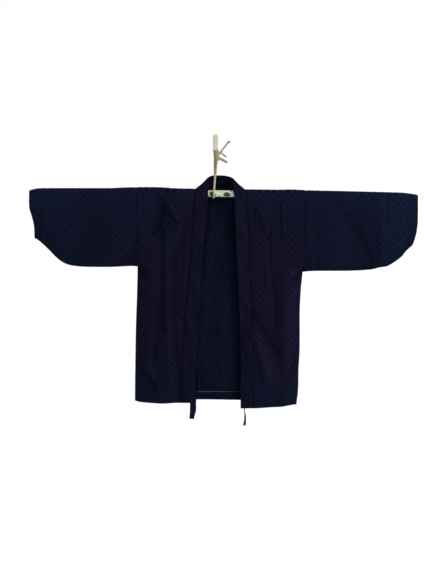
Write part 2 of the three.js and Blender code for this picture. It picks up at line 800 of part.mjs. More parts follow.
// Places along the collar seam, on the middle of the collar's thickness
function collarSeamPlaces() {
  const places = [];
  const neckRun = rowRun('left', -1);
  const neckEnd = -neckRun + backNeck.rightX - backNeck.leftX;
  const addFront = (side, run) => {
    const shape = bodyShape(side);
    const cornerRun = rowRun(side, -1);
    const toCollar = new THREE.Vector3(-shape.sign, 0, run > cornerRun ? 0 : 1).normalize();
    const along = side === 'left' ? -run : neckEnd + run - cornerRun;
    const seam = collarPoint(shape, shape.openEdgeAt(run, 0), run, toCollar);
    places.push({ along, seam });
  };
  const frontRuns = (side) => {
    const numbers = rowNumbers(lastQuiltRow(side), 1).filter((row) => row >= -1);
    const hemX = readTable(collarSeam[side], 'run', 'x', hem.frontRun);
    const hemRun = readTable(hemLine.front, 'x', 'run', hemX);
    return [hemRun, ...numbers.map((number) => rowRun(side, number))];
  };
  for (const run of frontRuns('left')) addFront('left', run);
  const toCollar = new THREE.Vector3(0, collar.neckLean.y, collar.neckLean.z).normalize();
  const neckFrom = backNeck.leftX + quilt.margin;
  const neckTo = backNeck.rightX - quilt.margin;
  for (const column of columnsBetween(neckFrom, neckTo, 1)) {
    const x = columnX(column);
    const shape = bodyShape(column < 0 ? 'left' : 'right');
    const along = -neckRun + x - backNeck.leftX;
    places.push({ along, seam: collarPoint(shape, x, neckRun, toCollar) });
  }
  for (const run of frontRuns('right').reverse()) addFront('right', run);
  return places;
}

function collarPoint(shape, x, run, toCollar) {
  const seam = shape.face(x, run);
  const gap = run < 0 ? collar.neckGap : collar.seamGap;
  seam.addScaledVector(outwardNormal(shape.face, x, run), collar.thickness / 2);
  return seam.addScaledVector(toCollar, gap);
}

function collarFree(along) {
  const value = (column) => readTable(freeEdge, 'along', column, along);
  return new THREE.Vector3(value('x'), value('y'), value('z'));
}

// The collar: one long folded band, sewn to the fronts and standing up behind the neck
function makeCollar() {
  const wall = newWall();
  const stations = collarSeamPlaces();
  for (const station of stations) station.free = collarFree(station.along);
  const middle = (station) => station.seam.clone().add(station.free).multiplyScalar(0.5);
  stations.forEach((station, index) => {
    const before = middle(stations[Math.max(index - 1, 0)]);
    const after = middle(stations[Math.min(index + 1, stations.length - 1)]);
    const across = station.free.clone().sub(station.seam);
    station.across = across;
    station.normal = across.clone().cross(after.sub(before)).normalize();
  });
  const outer = collarFace(wall, stations, { outer: true, cells: collar.cells });
  const innerStations = stations.filter(keepsInnerStation);
  const inner = collarFace(wall, innerStations, { outer: false, cells: collar.innerCells });
  for (const edge of Object.keys(outer)) zipRim(wall, outer[edge], inner[edge]);
  return finishWall(wall);
}

function keepsInnerStation(station, index, stations) {
  const ends = index === 0 || index === stations.length - 1;
  const atNeck = station.along > collar.neckFrom && station.along < collar.neckTo;
  return ends || atNeck || index % collar.innerStep === 0;
}

function collarFace(wall, stations, layer) {
  const rows = stations.map((station, index) => {
    const row = [];
    for (let cell = 0; cell <= layer.cells; cell += 1) {
      const share = cell / layer.cells;
      const edge = cell === 0 || cell === layer.cells || index === 0 || index === stations.length - 1;
      const high = edge || !layer.outer ? 0 : (cell + index) % 2;
      const lift = layer.outer ? collar.thickness / 2 + cloth.relief * high : -collar.thickness / 2;
      const point = station.seam.clone().addScaledVector(station.across, share);
      point.addScaledVector(station.normal, lift);
      row.push({ id: addPoint(wall, point), at: share, low: high === 0 });
    }
    return row;
  });
  for (let index = 1; index < rows.length; index += 1) {
    zipRows(wall, rows[index - 1], rows[index], !layer.outer);
  }
  const side = (cell) => rows.map((row, index) => ({ id: row[cell].id, at: stations[index].along }));
  return {
    leftHem: rows[0],
    freeEdge: side(layer.cells),
    rightHem: rows[rows.length - 1],
    seamEdge: side(0),
  };
}

// A flat tie of folded cloth, lofted down its sections
function makeTie(sections) {
  const wall = newWall();
  const rings = sections.map((section) => {
    const turn = THREE.MathUtils.degToRad(section.turn);
    const across = new THREE.Vector3(Math.cos(turn), Math.sin(turn), 0);
    const outward = new THREE.Vector3(Math.sin(turn), -Math.cos(turn), 0);
    const corners = [[-1, -1], [1, -1], [1, 1], [-1, 1]];
    const ids = corners.map(([side, face]) => {
      const point = new THREE.Vector3(section.x, section.y, section.z);
      point.addScaledVector(across, side * tie.width / 2);
      point.addScaledVector(outward, face * tie.thickness / 2);
      return addPoint(wall, point);
    });
    return [...ids, ids[0]].map((id, at) => ({ id, at, low: true }));
  });
  for (let index = 1; index < rings.length; index += 1) {
    zipRows(wall, rings[index - 1], rings[index], false);
  }
  capRing(wall, rings[0], false);
  capRing(wall, rings[rings.length - 1], true);
  return finishWall(wall);
}

function capRing(wall, ring, forward) {
  const [a, b, c, d] = ring.map((point) => point.id);
  if (forward) {
    addFace(wall, a, b, c);
    addFace(wall, a, c, d);
  } else {
    addFace(wall, a, c, b);
    addFace(wall, a, d, c);
  }
}

// A round bar or cord along a smooth curve
function makeTube(curve, radius, sides, steps) {
  const outline = [];
  for (let side = 0; side < sides; side += 1) {
    const angle = 2 * Math.PI * side / sides;
    outline.push(new THREE.Vector2(radius * Math.cos(angle), radius * Math.sin(angle)));
  }
  const section = new THREE.Shape(outline);
  return new THREE.ExtrudeGeometry(section, { steps, extrudePath: curve, bevelEnabled: false });
}

function makeRod() {
  const places = [];
  for (let step = 0; step <= rod.steps; step += 1) {
    const x = THREE.MathUtils.lerp(rod.leftEnd, rod.rightEnd, step / rod.steps);
    places.push(new THREE.Vector3(x, rod.y, rodAxisZ(x)));
  }
  return makeTube(new THREE.CatmullRomCurve3(places), rod.radius, rod.sides, rod.steps);
}

function makeCord(route, diameter) {
  const curve = new THREE.CatmullRomCurve3(route.map((point) => new THREE.Vector3(...point)));
  const steps = Math.ceil(curve.getLength() / cord.stepLength);
  return makeTube(curve, diameter / 2, cord.sides, steps);
}

function makeKnot() {
  const geometry = new THREE.IcosahedronGeometry(0.5, 1);
  geometry.scale(knot.across, knot.deep, knot.high);
  geometry.translate(knot.x, knot.y, knot.z);
  return geometry;
}

function makeEndKnot() {
  const geometry = new THREE.IcosahedronGeometry(endKnot.radius, 1);
  geometry.translate(endKnot.x, endKnot.y, endKnot.z);
  return geometry;
}

// Half width of the hook's teardrop outline at a height
function hookHalfWidth(z) {
  const share = (z - hook.bottom) / (hook.top - hook.topRadius - hook.bottom);
  return THREE.MathUtils.lerp(hook.bottomHalfWidth, hook.topRadius, share);
}

// A teardrop plate between two heights, lying against the plane y = back
function hookPlate(bottom, top, topRadius, back, thickness) {
  const outline = new THREE.Shape();
  const shoulder = top - topRadius;
  const { corner } = hook;
  outline.moveTo(-hookHalfWidth(bottom) + corner, bottom);
  outline.lineTo(hookHalfWidth(bottom) - corner, bottom);
  outline.lineTo(hookHalfWidth(bottom), bottom + corner);
  outline.lineTo(topRadius, shoulder);
  outline.absarc(0, shoulder, topRadius, 0, Math.PI, false);
  outline.lineTo(-hookHalfWidth(bottom), bottom + corner);
  const plate = new THREE.ExtrudeGeometry(outline, {
    depth: thickness, bevelEnabled: false, curveSegments: 8,
  });
  plate.rotateX(Math.PI / 2);
  plate.translate(0, back, 0);
  return plate;
}

// The bar that the cord hangs over, between the plate and the lip
function hookBar() {
  const outline = new THREE.Shape();
  outline.moveTo(-hook.barRadius, hook.bottom + hook.overlap);
  outline.lineTo(hook.barRadius, hook.bottom + hook.overlap);
  outline.lineTo(hook.barRadius, hook.barZ);
  outline.absarc(0, hook.barZ, hook.barRadius, 0, Math.PI, false);
  const gap = -hook.lipFront - hook.lipThickness - hook.plateThickness;
  const depth = gap + 2 * hook.overlap;
  const bar = new THREE.ExtrudeGeometry(outline, { depth, bevelEnabled: false, curveSegments: 6 });
  bar.rotateX(Math.PI / 2);
  bar.translate(0, -hook.plateThickness + hook.overlap, 0);
  return bar;
}

const wasm = await Module();
wasm.setup();

function toSolid(geometry) {
  const bare = geometry.clone();
  bare.deleteAttribute('normal');
  bare.deleteAttribute('uv');
  const merged = mergeVertices(bare, 1e-4);
  return new wasm.Manifold(new wasm.Mesh({
    numProp: 3,
    vertProperties: new Float32Array(merged.getAttribute('position').array),
    triVerts: new Uint32Array(merged.getIndex().array),
  }));
}

function fromSolid(solid) {
  const mesh = solid.getMesh();
  const geometry = new THREE.BufferGeometry();
  geometry.setAttribute('position', new THREE.Float32BufferAttribute(mesh.vertProperties, 3));
  geometry.setIndex(new THREE.Uint32BufferAttribute(mesh.triVerts, 1));
  geometry.computeVertexNormals();
  return geometry;
}

function makeHook() {
  const plate = hookPlate(hook.bottom, hook.top, hook.topRadius, 0, hook.plateThickness);
  const lipBack = hook.lipFront + hook.lipThickness;
  const lipRadius = hookHalfWidth(hook.lipTop - hookHalfWidth(hook.lipTop));
  const lip = hookPlate(hook.bottom, hook.lipTop, lipRadius, lipBack, hook.lipThickness);
  const solid = toSolid(plate).add(toSolid(hookBar())).add(toSolid(lip));
  return fromSolid(solid);
}

const hanten = new THREE.Group();

function addPart(name, geometry, material) {
  const mesh = new THREE.Mesh(geometry, material);
  mesh.name = name;
  hanten.add(mesh);
}

for (const side of ['left', 'right']) {
  addPart(`body_${side}`, makeBody(side), materials.quiltedCloth);
  addPart(`sleeve_${side}`, makeSleeve(side), materials.quiltedCloth);
  addPart(`tie_${side}`, makeTie(tieSections[side]), materials.bandCloth);
}
addPart('collar', makeCollar(), materials.bandCloth);
addPart('rod', makeRod(), materials.printedCloth);
addPart('wall_hook', makeHook(), materials.hookPlastic);
addPart('cord_loop', makeCord(cordRoutes.loop, cord.diameter), materials.cordCotton);
addPart('cord_long_tail', makeCord(cordRoutes.longTail, cord.diameter), materials.cordCotton);
addPart('cord_short_tail', makeCord(cordRoutes.shortTail, cord.diameter), materials.cordCotton);
addPart('cord_bow', makeCord(cordRoutes.bow, cord.bowDiameter), materials.cordCotton);
addPart('cord_knot', makeKnot(), materials.cordCotton);
addPart('cord_end_knot', makeEndKnot(), materials.cordCotton);

export default hanten;
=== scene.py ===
import math

import bmesh
import bpy
import numpy as np
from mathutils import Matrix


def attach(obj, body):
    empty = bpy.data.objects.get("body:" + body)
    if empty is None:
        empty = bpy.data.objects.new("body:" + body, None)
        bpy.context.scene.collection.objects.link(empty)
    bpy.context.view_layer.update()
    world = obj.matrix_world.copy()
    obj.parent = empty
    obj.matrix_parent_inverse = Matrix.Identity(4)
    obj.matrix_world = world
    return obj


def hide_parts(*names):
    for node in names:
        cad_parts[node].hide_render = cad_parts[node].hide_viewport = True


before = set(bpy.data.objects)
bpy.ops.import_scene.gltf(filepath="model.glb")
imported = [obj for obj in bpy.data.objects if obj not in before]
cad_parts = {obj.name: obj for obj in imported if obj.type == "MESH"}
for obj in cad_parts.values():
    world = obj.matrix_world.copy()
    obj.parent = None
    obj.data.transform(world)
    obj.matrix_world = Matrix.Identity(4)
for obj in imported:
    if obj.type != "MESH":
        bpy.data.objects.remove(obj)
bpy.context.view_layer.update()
mm = 0.001
scene = bpy.context.scene

# Lengths below are in millimetres. x is across the garment, run is the way along the cloth
# from its fold over the rod: positive down the front, negative down the back.

sides = {"left": -1, "right": 1}
cloth = {"thickness": 2.4, "relief": 1.0, "foldRadius": 11.8, "closing": 70, "taper": 5,
         "padding": 0.9, "paddingReach": 14, "rimThinning": 0.42, "rimReach": 3.4, "inset": 3.0,
         "insetReach": 9, "insetRise": 20, "turnUp": 26, "turnThickness": 2.2, "turnShade": 0.35,
         "frontStitch": 46, "foldsFrom": 6, "foldsFull": 60}
lattice = {"x": 23.4, "run": 24.4, "parts": 8, "rowGap": 1.3, "sleeveX": 8, "sleeveRun": 5}
rod = {"radius": 10.8, "y": -30, "highX": 8, "highZ": -169.6, "tilt": 0.0119, "bow": 4,
       "bowReach": 554, "left": -579.5, "right": 608.5, "pastReach": 36, "leftFall": 7,
       "rightFall": 2.7, "tuck": [(0, 2.2), (0.6, 0.8), (2.0, 0)], "plainFrom": 6, "rings": 110,
       "around": 48, "printStep": 10.79}
armhole = {"left": 265, "right": 274}
armholeRows = 20
backNeck = {"left": -61, "right": 91, "ease": 9, "fall": 80}
neckRun = {side: -armhole[side] / armholeRows for side in sides}
quarterTurn = cloth["foldRadius"] * math.pi / 2

foldLift = [(-345, 0), (-282, 3), (-205, 3.9), (-172, 3), (-146, 1.2), (-110, 0), (200, 0),
            (250, 1.6), (312, 0)]
sideEdge = {
    "left": [(0, -262.7), (265, -258.2), (342, -259.5), (474, -263.7), (672, -266.6), (709, -266.5)],
    "right": [(0, 298.3), (274, 287.5), (333, 282), (399, 278.6), (531, 278), (597, 274.4),
              (663, 273), (712, 267.4)],
}
collarSeam = {
    "left": [(-13.5, -61), (0, -66), (11, -69.3), (169, -77.2), (380, -95.7), (539, -108.9),
             (712, -117.4)],
    "right": [(-13.5, 91), (0, 96.5), (22, 103), (137, 106.5), (246, 111), (371, 115.4),
              (475, 118.4), (605, 120.6), (722, 121)],
}
centreBack = [(13, 17), (300, 22), (700, 28)]
frontHem = [(-266, 708.5), (-249, 713), (-183, 717.5), (-117, 711.5), (117, 726), (186, 721.8),
            (219, 720), (264, 713)]
backHem = [(-266, 708.5), (-150, 702), (18, 700), (150, 702), (264, 713)]
cuffEdge = {
    "left": [(0, -615.5), (60, -615), (95, -606), (125, -600), (165, -598.5)],
    "right": [(0, 668.3), (90, 667.5), (123, 664.6), (156, 657), (172, 651)],
}
# Run of each sleeve's sewn bottom, by the distance from the cuff
sleeveBottom = {
    "left": [(0, 165.5), (15, 176.8), (34, 194), (52, 211.5), (66, 226.5), (86, 243.5), (105, 254),
             (126, 259.5), (168, 263.5), (283, 264), (316, 263.5), (341, 265)],
    "right": [(0, 173.5), (21, 194.5), (36, 214.5), (57, 231.5), (83, 247.5), (110, 253), (137, 260.3),
              (203, 266), (335, 270), (364, 274)],
}

# Folds: from x, from run, to x, to run, width, rise. The wide ones first, then the creases.
frontFolds = [
    (-173, 60, -182, 470, 27, -4), (-180, 62, -134, 177, 27, -3), (-140, 110, -146, 430, 34, 5),
    (-243, 573, -172, 690, 28, 4), (-225, 500, -205, 640, 30, -3.5), (-243, 290, -205, 400, 26, 2.5),
    (212, 55, 206, 466, 27, -4), (165, 120, 168, 400, 32, 3.5), (122, 416, 196, 531, 28, -3.5),
    (140, 498, 176, 625, 32, 5.5), (236, 420, 228, 700, 32, 4), (262, 300, 225, 380, 26, 2.5),
    (-420, 40, -455, 215, 34, -3.5), (-340, 60, -330, 220, 36, 3.5), (-535, 50, -520, 190, 34, 4),
    (427, 50, 509, 235, 34, -2.6), (372, 60, 395, 230, 34, 3.5), (568, 50, 575, 200, 36, 4),
    (-169, 76, -130, 118, 5, -2.3), (-170, 80, -186, 130, 5, -1.9), (-186, 131, -211, 158, 5, -2.2),
    (-172, 44, -168, 74, 6, -0.8), (-181, 64, -184, 150, 6, -0.9), (-164, 12, -128, 56, 5, -1.6),
    (-166, 30, -150, 60, 6, 1.0), (-150, 60, -128, 92, 6, 0.8), (-160, 90, -168, 128, 8, 0.9),
    (-163, 170, -160, 330, 13, 2.6), (-176, 160, -172, 470, 9, -2.2), (-140, 230, -134, 420, 10, -1.8),
    (-106, 136, -106, 178, 4.5, -1.8), (-113, 178, -110, 260, 5, -1.2), (-160, 360, -150, 560, 10, 1.4),
    (-186, 380, -196, 560, 10, -1.5), (-146, 345, -142, 600, 6, -1.3), (-128, 60, -100, 110, 7, -0.9),
    (-132, 470, -122, 640, 8, -1.6), (-214, 470, -224, 600, 10, 1.3), (-246, 590, -196, 676, 7, -2.0),
    (-222, 585, -170, 690, 8, 1.6), (-196, 640, -156, 702, 7, -1.6), (-150, 560, -140, 700, 8, 1.2),
    (-258, 270, -232, 292, 6, -2.4), (-259, 282, -238, 330, 6, 1.8), (-262, 300, -236, 306, 5, -1.5),
    (-250, 240, -222, 262, 6, 1.5), (-252, 330, -234, 350, 6, -1.2),
    (216, 62, 217, 160, 4.6, -2.2), (224, 60, 226, 150, 7, 1.6), (181, 140, 182, 240, 5, -2.2),
    (182, 250, 188, 330, 6, -1.5), (199, 339, 201, 460, 5, -1.8), (213, 279, 214, 447, 6, -1.3),
    (190, 250, 198, 450, 9, -1.0), (122, 60, 160, 130, 7, -1.8), (126, 84, 172, 170, 7, -1.2),
    (122, 414, 196, 531, 9, -2.4), (140, 500, 173, 615, 11, 2.6), (128, 520, 152, 640, 8, -1.6),
    (284, 278, 258, 300, 6, -2.4), (284, 290, 262, 340, 6, 1.8), (280, 262, 248, 276, 6, 1.5),
    (262, 560, 238, 640, 9, -1.6), (230, 640, 206, 706, 8, -1.6), (160, 230, 162, 330, 6, -1.4),
    (240, 380, 232, 560, 9, 1.3), (210, 520, 216, 640, 9, -1.3),
    (-272, 212, -286, 262, 7, -1.0), (-280, 236, -312, 262, 6, -0.9), (-285, 150, -292, 250, 9, 1.2),
    (-470, 60, -500, 170, 9, -1.2), (-395, 140, -372, 255, 9, -1.2), (-320, 226, -380, 256, 8, 1.0),
    (-430, 190, -480, 226, 9, -1.0), (-575, 18, -575, 190, 4.6, -2.0), (-566, 24, -567, 190, 6, 1.0),
    (298, 220, 320, 268, 8, -1.0), (312, 224, 350, 262, 6, -1.0), (312, 150, 322, 250, 9, 1.4),
    (404, 40, 470, 160, 9, -1.4), (470, 120, 515, 240, 9, -1.6), (567, 14, 564, 110, 4.8, -1.3),
    (556, 16, 553, 232, 6, 1.2), (620, 40, 616, 170, 10, 1.2), (350, 200, 400, 262, 8, 1.2),
]
backFolds = [
    (-185, 80, -170, 560, 40, 5), (-105, 200, -96, 690, 36, -4), (-20, 260, -34, 690, 36, 4.5),
    (60, 180, 74, 690, 38, -4), (150, 120, 140, 640, 42, 5.5), (228, 330, 216, 700, 34, -3.5),
    (-440, 40, -410, 220, 38, 4), (-350, 60, -345, 220, 34, -3.5), (410, 50, 440, 225, 38, 4.5),
    (520, 50, 535, 210, 36, -3.5),
    (-150, 70, -120, 300, 9, -1.3), (-60, 120, -48, 420, 10, 1.1), (100, 90, 118, 330, 9, -1.2),
    (190, 420, 160, 640, 9, -1.1), (-222, 300, -210, 560, 9, 1.1), (30, 420, 44, 650, 9, 1.0),
    (-255, 268, -226, 296, 6, -1.4), (282, 276, 254, 304, 6, -1.4), (-380, 70, -400, 230, 9, -1.0),
    (-500, 50, -512, 180, 9, 1.0), (350, 60, 340, 240, 9, 1.0), (470, 50, 492, 220, 9, -1.1),
    (-571, 18, -572, 190, 4.8, -2.2), (562, 16, 558, 225, 5, -1.9), (600, 30, 604, 170, 8, -1.0),
]

# Patches of painted light and shade on the front, where it is drawn lighter or darker: from x, from run,
# to x, to run, width, tone
paintedLightAndShade = [
    (-175, 80, -180, 140, 24, -0.22), (-120, 270, -112, 420, 22, -0.22), (-350, 150, -290, 230, 40, -0.12),
    (-230, 380, -232, 690, 32, -0.15), (-230, 580, -150, 670, 30, -0.08), (205, 40, 205, 170, 32, -0.08),
    (470, 30, 470, 200, 90, 0.08), (605, 40, 620, 150, 50, 0.18), (-560, 40, -360, 230, 130, 0.1),
    (-430, 30, -430, 50, 120, 0.08), (230, 700, 140, 715, 24, 0.12),
    (-235, 560, -150, 700, 40, -0.06), (170, 300, 250, 600, 70, 0.08), (-230, 0, -230, 60, 60, 0.16),
    (240, 0, 240, 60, 60, 0.16), (437, 60, 437, 160, 40, 0.14), (-590, 10, -560, 120, 24, 0.1),
    (235, 200, 235, 480, 42, 0.16), (640, 40, 620, 160, 45, 0.15), (-400, 225, -250, 260, 40, -0.12),
    (-330, 110, -300, 220, 50, -0.08), (-240, 180, -240, 262, 26, -0.15), (278, 100, 278, 262, 18, -0.2),
    (262, 90, 262, 190, 30, -0.06), (566, 60, 560, 235, 12, 0.16), (540, 130, 536, 235, 16, -0.08),
    (620, 20, 560, 45, 60, 0.2), (655, 20, 650, 150, 26, 0.16), (-600, 10, -590, 40, 30, 0.3),
]
# Where the front's dye leans to purple, in the same form
purpleDye = [
    (-125, 225, -135, 430, 38, 0.85), (-210, 262, -212, 370, 38, 0.6), (-110, 440, -104, 560, 26, 0.6),
    (-228, 400, -230, 690, 30, 0.3), (-140, 600, -140, 700, 24, 0.2), (-340, 140, -340, 220, 40, 0.16),
    (128, 100, 132, 160, 20, 0.25), (150, 240, 165, 480, 52, 0.8), (240, 246, 240, 400, 44, 0.8),
    (215, 470, 225, 560, 44, 0.5), (-60, 20, -75, 120, 30, 0.4), (-400, 235, -330, 250, 30, 0.12),
    (-165, 5, -125, 60, 40, 0.28), (215, 20, 205, 115, 70, 0.26), (370, 60, 370, 230, 40, 0.25),
    (-160, 540, -165, 700, 44, 0.2), (190, 600, 190, 715, 70, 0.22), (-240, 50, -225, 170, 60, 0.26),
]
# The front's painted light and shade and its dye go this far over the fold
frontReach = -30


def linear(code):
    parts = [int(code[start:start + 2], 16) / 255 for start in (1, 3, 5)]
    return [part / 12.92 if part <= 0.04045 else ((part + 0.055) / 1.055) ** 2.4 for part in parts] + [1]


# From the row before each to the row after it
def stepsOf(values):
    rows = np.arange(len(values))
    return values[np.minimum(rows + 1, rows[-1])] - values[np.maximum(rows - 1, 0)]


# Smooth value of a table at places along its first column
def curveAt(rows, at, column=1):
    table = np.array(rows, float)
    keys, values = table[:, 0], table[:, column]
    slopes = stepsOf(values) / stepsOf(keys)
    at = np.clip(at, keys[0], keys[-1])
    row = np.clip(np.searchsorted(keys, at, side="right") - 1, 0, len(keys) - 2)
    length = keys[row + 1] - keys[row]
    t = (at - keys[row]) / length
    ends = (1 + 2 * t) * (1 - t) ** 2 * values[row] + t * t * (3 - 2 * t) * values[row + 1]
    return ends + length * (t * (1 - t) ** 2 * slopes[row] + t * t * (t - 1) * slopes[row + 1])


def curvesAt(rows, at, columns):
    return np.stack([curveAt(rows, at, column) for column in columns], -1)


def edgeX(edges, side, run):
    return curveAt(edges[side], np.abs(run))


def smoothStep(start, end, at):
    t = np.clip((at - start) / (end - start), 0, 1)
    return t * t * (3 - 2 * t)


def bell(distance, width):
    return np.exp(-(distance / width) ** 2)


def rodAxisZ(x):
    across = x - rod["highX"]
    return rod["highZ"] - rod["tilt"] * across - rod["bow"] * (across / rod["bowReach"]) ** 2


# Axis of the fold, which falls where the cloth goes past the rod's ends
def foldAxisZ(x):
    leftPast = np.maximum(rod["left"] - x, 0) / rod["pastReach"]
    rightPast = np.maximum(x - rod["right"], 0) / rod["pastReach"]
    fallen = rodAxisZ(x) - rod["leftFall"] * leftPast ** 1.5 - rod["rightFall"] * rightPast ** 1.5
    return fallen + curveAt(foldLift, x)


# Rise of the folds, or with toned how much lighter or darker they are painted: painted shade in the
# troughs and painted light on the ridges, the wide ones least
def foldSum(folds, x, run, toned=False):
    total = np.zeros_like(x)
    for fromX, fromRun, toX, toRun, width, height in folds:
        alongX, alongRun = toX - fromX, toRun - fromRun
        t = ((x - fromX) * alongX + (run - fromRun) * alongRun) / (alongX ** 2 + alongRun ** 2)
        t = np.clip(t, 0, 1)
        offX = x - fromX - t * alongX
        offRun = (run - fromRun - t * alongRun) / 2
        share = (0.4 if width > 20 else 1) / (1.2 + width / 3) if toned else 1
        total += share * height * np.exp(-(offX ** 2 + offRun ** 2) / width ** 2)
    return total


def foldsAt(x, run, toned=False):
    front, back = (foldSum(folds, x, np.abs(run), toned) for folds in (frontFolds, backFolds))
    return np.where(run > 0, front, back)


# Small unevenness of padded cloth
def ripple(x, run):
    slow = np.sin(x / 31 + run / 87 + 0.4) * np.sin(run / 53 - x / 120 + 1.1)
    quick = np.sin(x / 14 - run / 41 + 2.1) * np.sin(run / 23 + x / 67)
    return 0.45 * slow + 0.2 * quick


# Slack of the back below the neck
def neckEase(x, drop):
    share = np.clip((x - backNeck["left"]) / (backNeck["right"] - backNeck["left"]), 0, 1)
    return backNeck["ease"] * np.sin(math.pi * share) ** 2 * np.exp(-drop / backNeck["fall"])


# Inner face of the cloth; opened is 1 where front and back hang a rod apart, 0 where sewn
def clothPoint(x, run, opened):
    x, run = np.broadcast_arrays(np.asarray(x, float), np.asarray(run, float))
    radius = cloth["foldRadius"]
    drop = np.abs(run) - quarterTurn
    turn = np.clip(run, -quarterTurn, quarterTurn) / radius
    ease = np.where(run < 0, neckEase(x, np.maximum(drop, 0)), 0)
    share = smoothStep(cloth["foldsFrom"], cloth["foldsFull"], drop)
    rise = share * (foldsAt(x, run) + ripple(x, run)) + ease
    half = opened * (radius + rise)
    over = drop <= 0
    y = rod["y"] + np.where(over, ease - radius * np.sin(turn), -np.sign(run) * half)
    z = foldAxisZ(x) + np.where(over, radius * np.cos(turn), -drop)
    return np.stack([x, y, z], -1)


# How far front and back stand apart at a distance from where they are sewn
def openedAt(distance):
    return 1 - (1 - np.clip(distance / cloth["closing"], 0, 1)) ** 2


# Points of a face raised off it along its normals
def raised(face, x, run, lift):
    step = 0.4
    across = face(x + step, run) - face(x - step, run)
    along = face(x, run + step) - face(x, run - step)
    normal = np.cross(along, across)
    normal = normal / np.linalg.norm(normal, axis=-1, keepdims=True)
    return face(x, run) + normal * np.asarray(lift)[..., None]


# Shade on the lining along the free edges of the left and the right band: way down the back, x
shade = {
    "left": [(60, -24), (90, -25), (156, -30), (222, -37), (288, -44), (354, -49), (420, -53),
             (486, -58), (552, -60), (700, -64)],
    "right": [(60, 63), (90, 64), (189, 68), (288, 72), (387, 78), (453, 81), (520, 83), (700, 82)],
}


# Painted shadow beside the bands' free edges with painted light a little further off, painted shade and
# light from the back's folds, and an uneven tone
def insideTone(x, run):
    fromLeft = x - curveAt(shade["left"], -run)
    fromRight = curveAt(shade["right"], -run) - x
    beside = -0.4 * bell(fromLeft, 6) - 0.55 * bell(fromRight, 9)
    beside += 0.25 * bell(fromRight - 38, 16) - 0.25 * bell(run + 110, 70) * bell(fromLeft, 25)
    beside = np.where(run < -45, beside, 0)
    return beside + 0.3 * ripple(x * 1.3, run) + foldSum(backFolds, x, np.abs(run), toned=True) * 0.4


def patches(table, x, run):
    return np.where(run > frontReach, foldSum(table, x, np.maximum(run, 0)), 0)


# How much lighter or darker the outside of body and sleeves is painted: painted shade in the crease
# troughs and painted light on the ridges, the patches of painted light and shade, and a painted highlight
# along the top of the fold over the rod
def outsideTone(x, run):
    return foldsAt(x, run, toned=True) + patches(paintedLightAndShade, x, run) + 0.42 * bell(run, 62)


def dyeAt(x, run):
    behind = 0.1 + 0.2 * np.sin(x / 90 + run / 150)
    return np.where(run > frontReach, patches(purpleDye, x, run), behind)


# Height of the woven diamonds, lowest along their lines and highest in their middles
def diamonds(x, run):
    first = (x / lattice["x"] + run / lattice["run"]) % 1 * 2 - 1
    second = (x / lattice["x"] - run / lattice["run"]) % 1 * 2 - 1
    return 0.3 + 0.6 * (1 - 0.6 * first ** 2) * (1 - second ** 2)


# Thickness of the padded cloth, none where it is sewn and less at its rims
def padded(x, run, origin, fromSewn, fromRim):
    lift = cloth["thickness"] + cloth["relief"] * diamonds(x - origin[0], run - origin[1])
    lift = lift + cloth["padding"] * bell(run, cloth["paddingReach"])
    lift = lift * np.sqrt(np.clip(fromSewn / cloth["taper"], 0, 1))
    return lift * (1 - cloth["rimThinning"] * bell(fromRim, cloth["rimReach"]))


# Rows or columns of a grid that follows the woven diamonds
def latticeLines(middle, count, size):
    return middle + np.arange(-count, count + 1) * size / lattice["parts"]


# Clips a grid of columns and rows to the outline of a piece
def fitGrid(columns, runs, edgesAt, limitAt, rounds):
    x, run = np.broadcast_arrays(columns, runs)
    for _ in range(rounds):
        edges = edgesAt(run)
        x = np.clip(columns, np.minimum(*edges), np.maximum(*edges))
        limit = limitAt(x, run)
        run = np.clip(runs, -limit, limit)
    return x, run, limit


# Triangles of a grid as places in it, with each cell split along its nearer woven line
def splitCells(p, q, shape, origin):
    cells = np.arange(p.size).reshape(shape)
    quads = (cells[:-1, :-1], cells[:-1, 1:], cells[1:, 1:], cells[1:, :-1])
    a, b, c, d = (part.ravel() for part in quads)
    middleU = (p[a] + p[c] - 2 * origin[0]) / 2 / lattice["x"]
    middleV = (q[a] + q[c] - 2 * origin[1]) / 2 / lattice["run"]
    rising, falling = middleU + middleV, middleU - middleV
    leans = np.abs(rising - np.round(rising)) < np.abs(falling - np.round(falling))
    first = np.where(leans, [a, d, b], [a, d, c]).T
    second = np.where(leans, [b, d, c], [a, c, b]).T
    corners = np.concatenate([first, second])
    edgeP = p[corners] - p[corners[:, :1]]
    edgeQ = q[corners] - q[corners[:, :1]]
    area = np.abs(edgeP[:, 1] * edgeQ[:, 2] - edgeP[:, 2] * edgeQ[:, 1])
    return corners[area > 0.01]


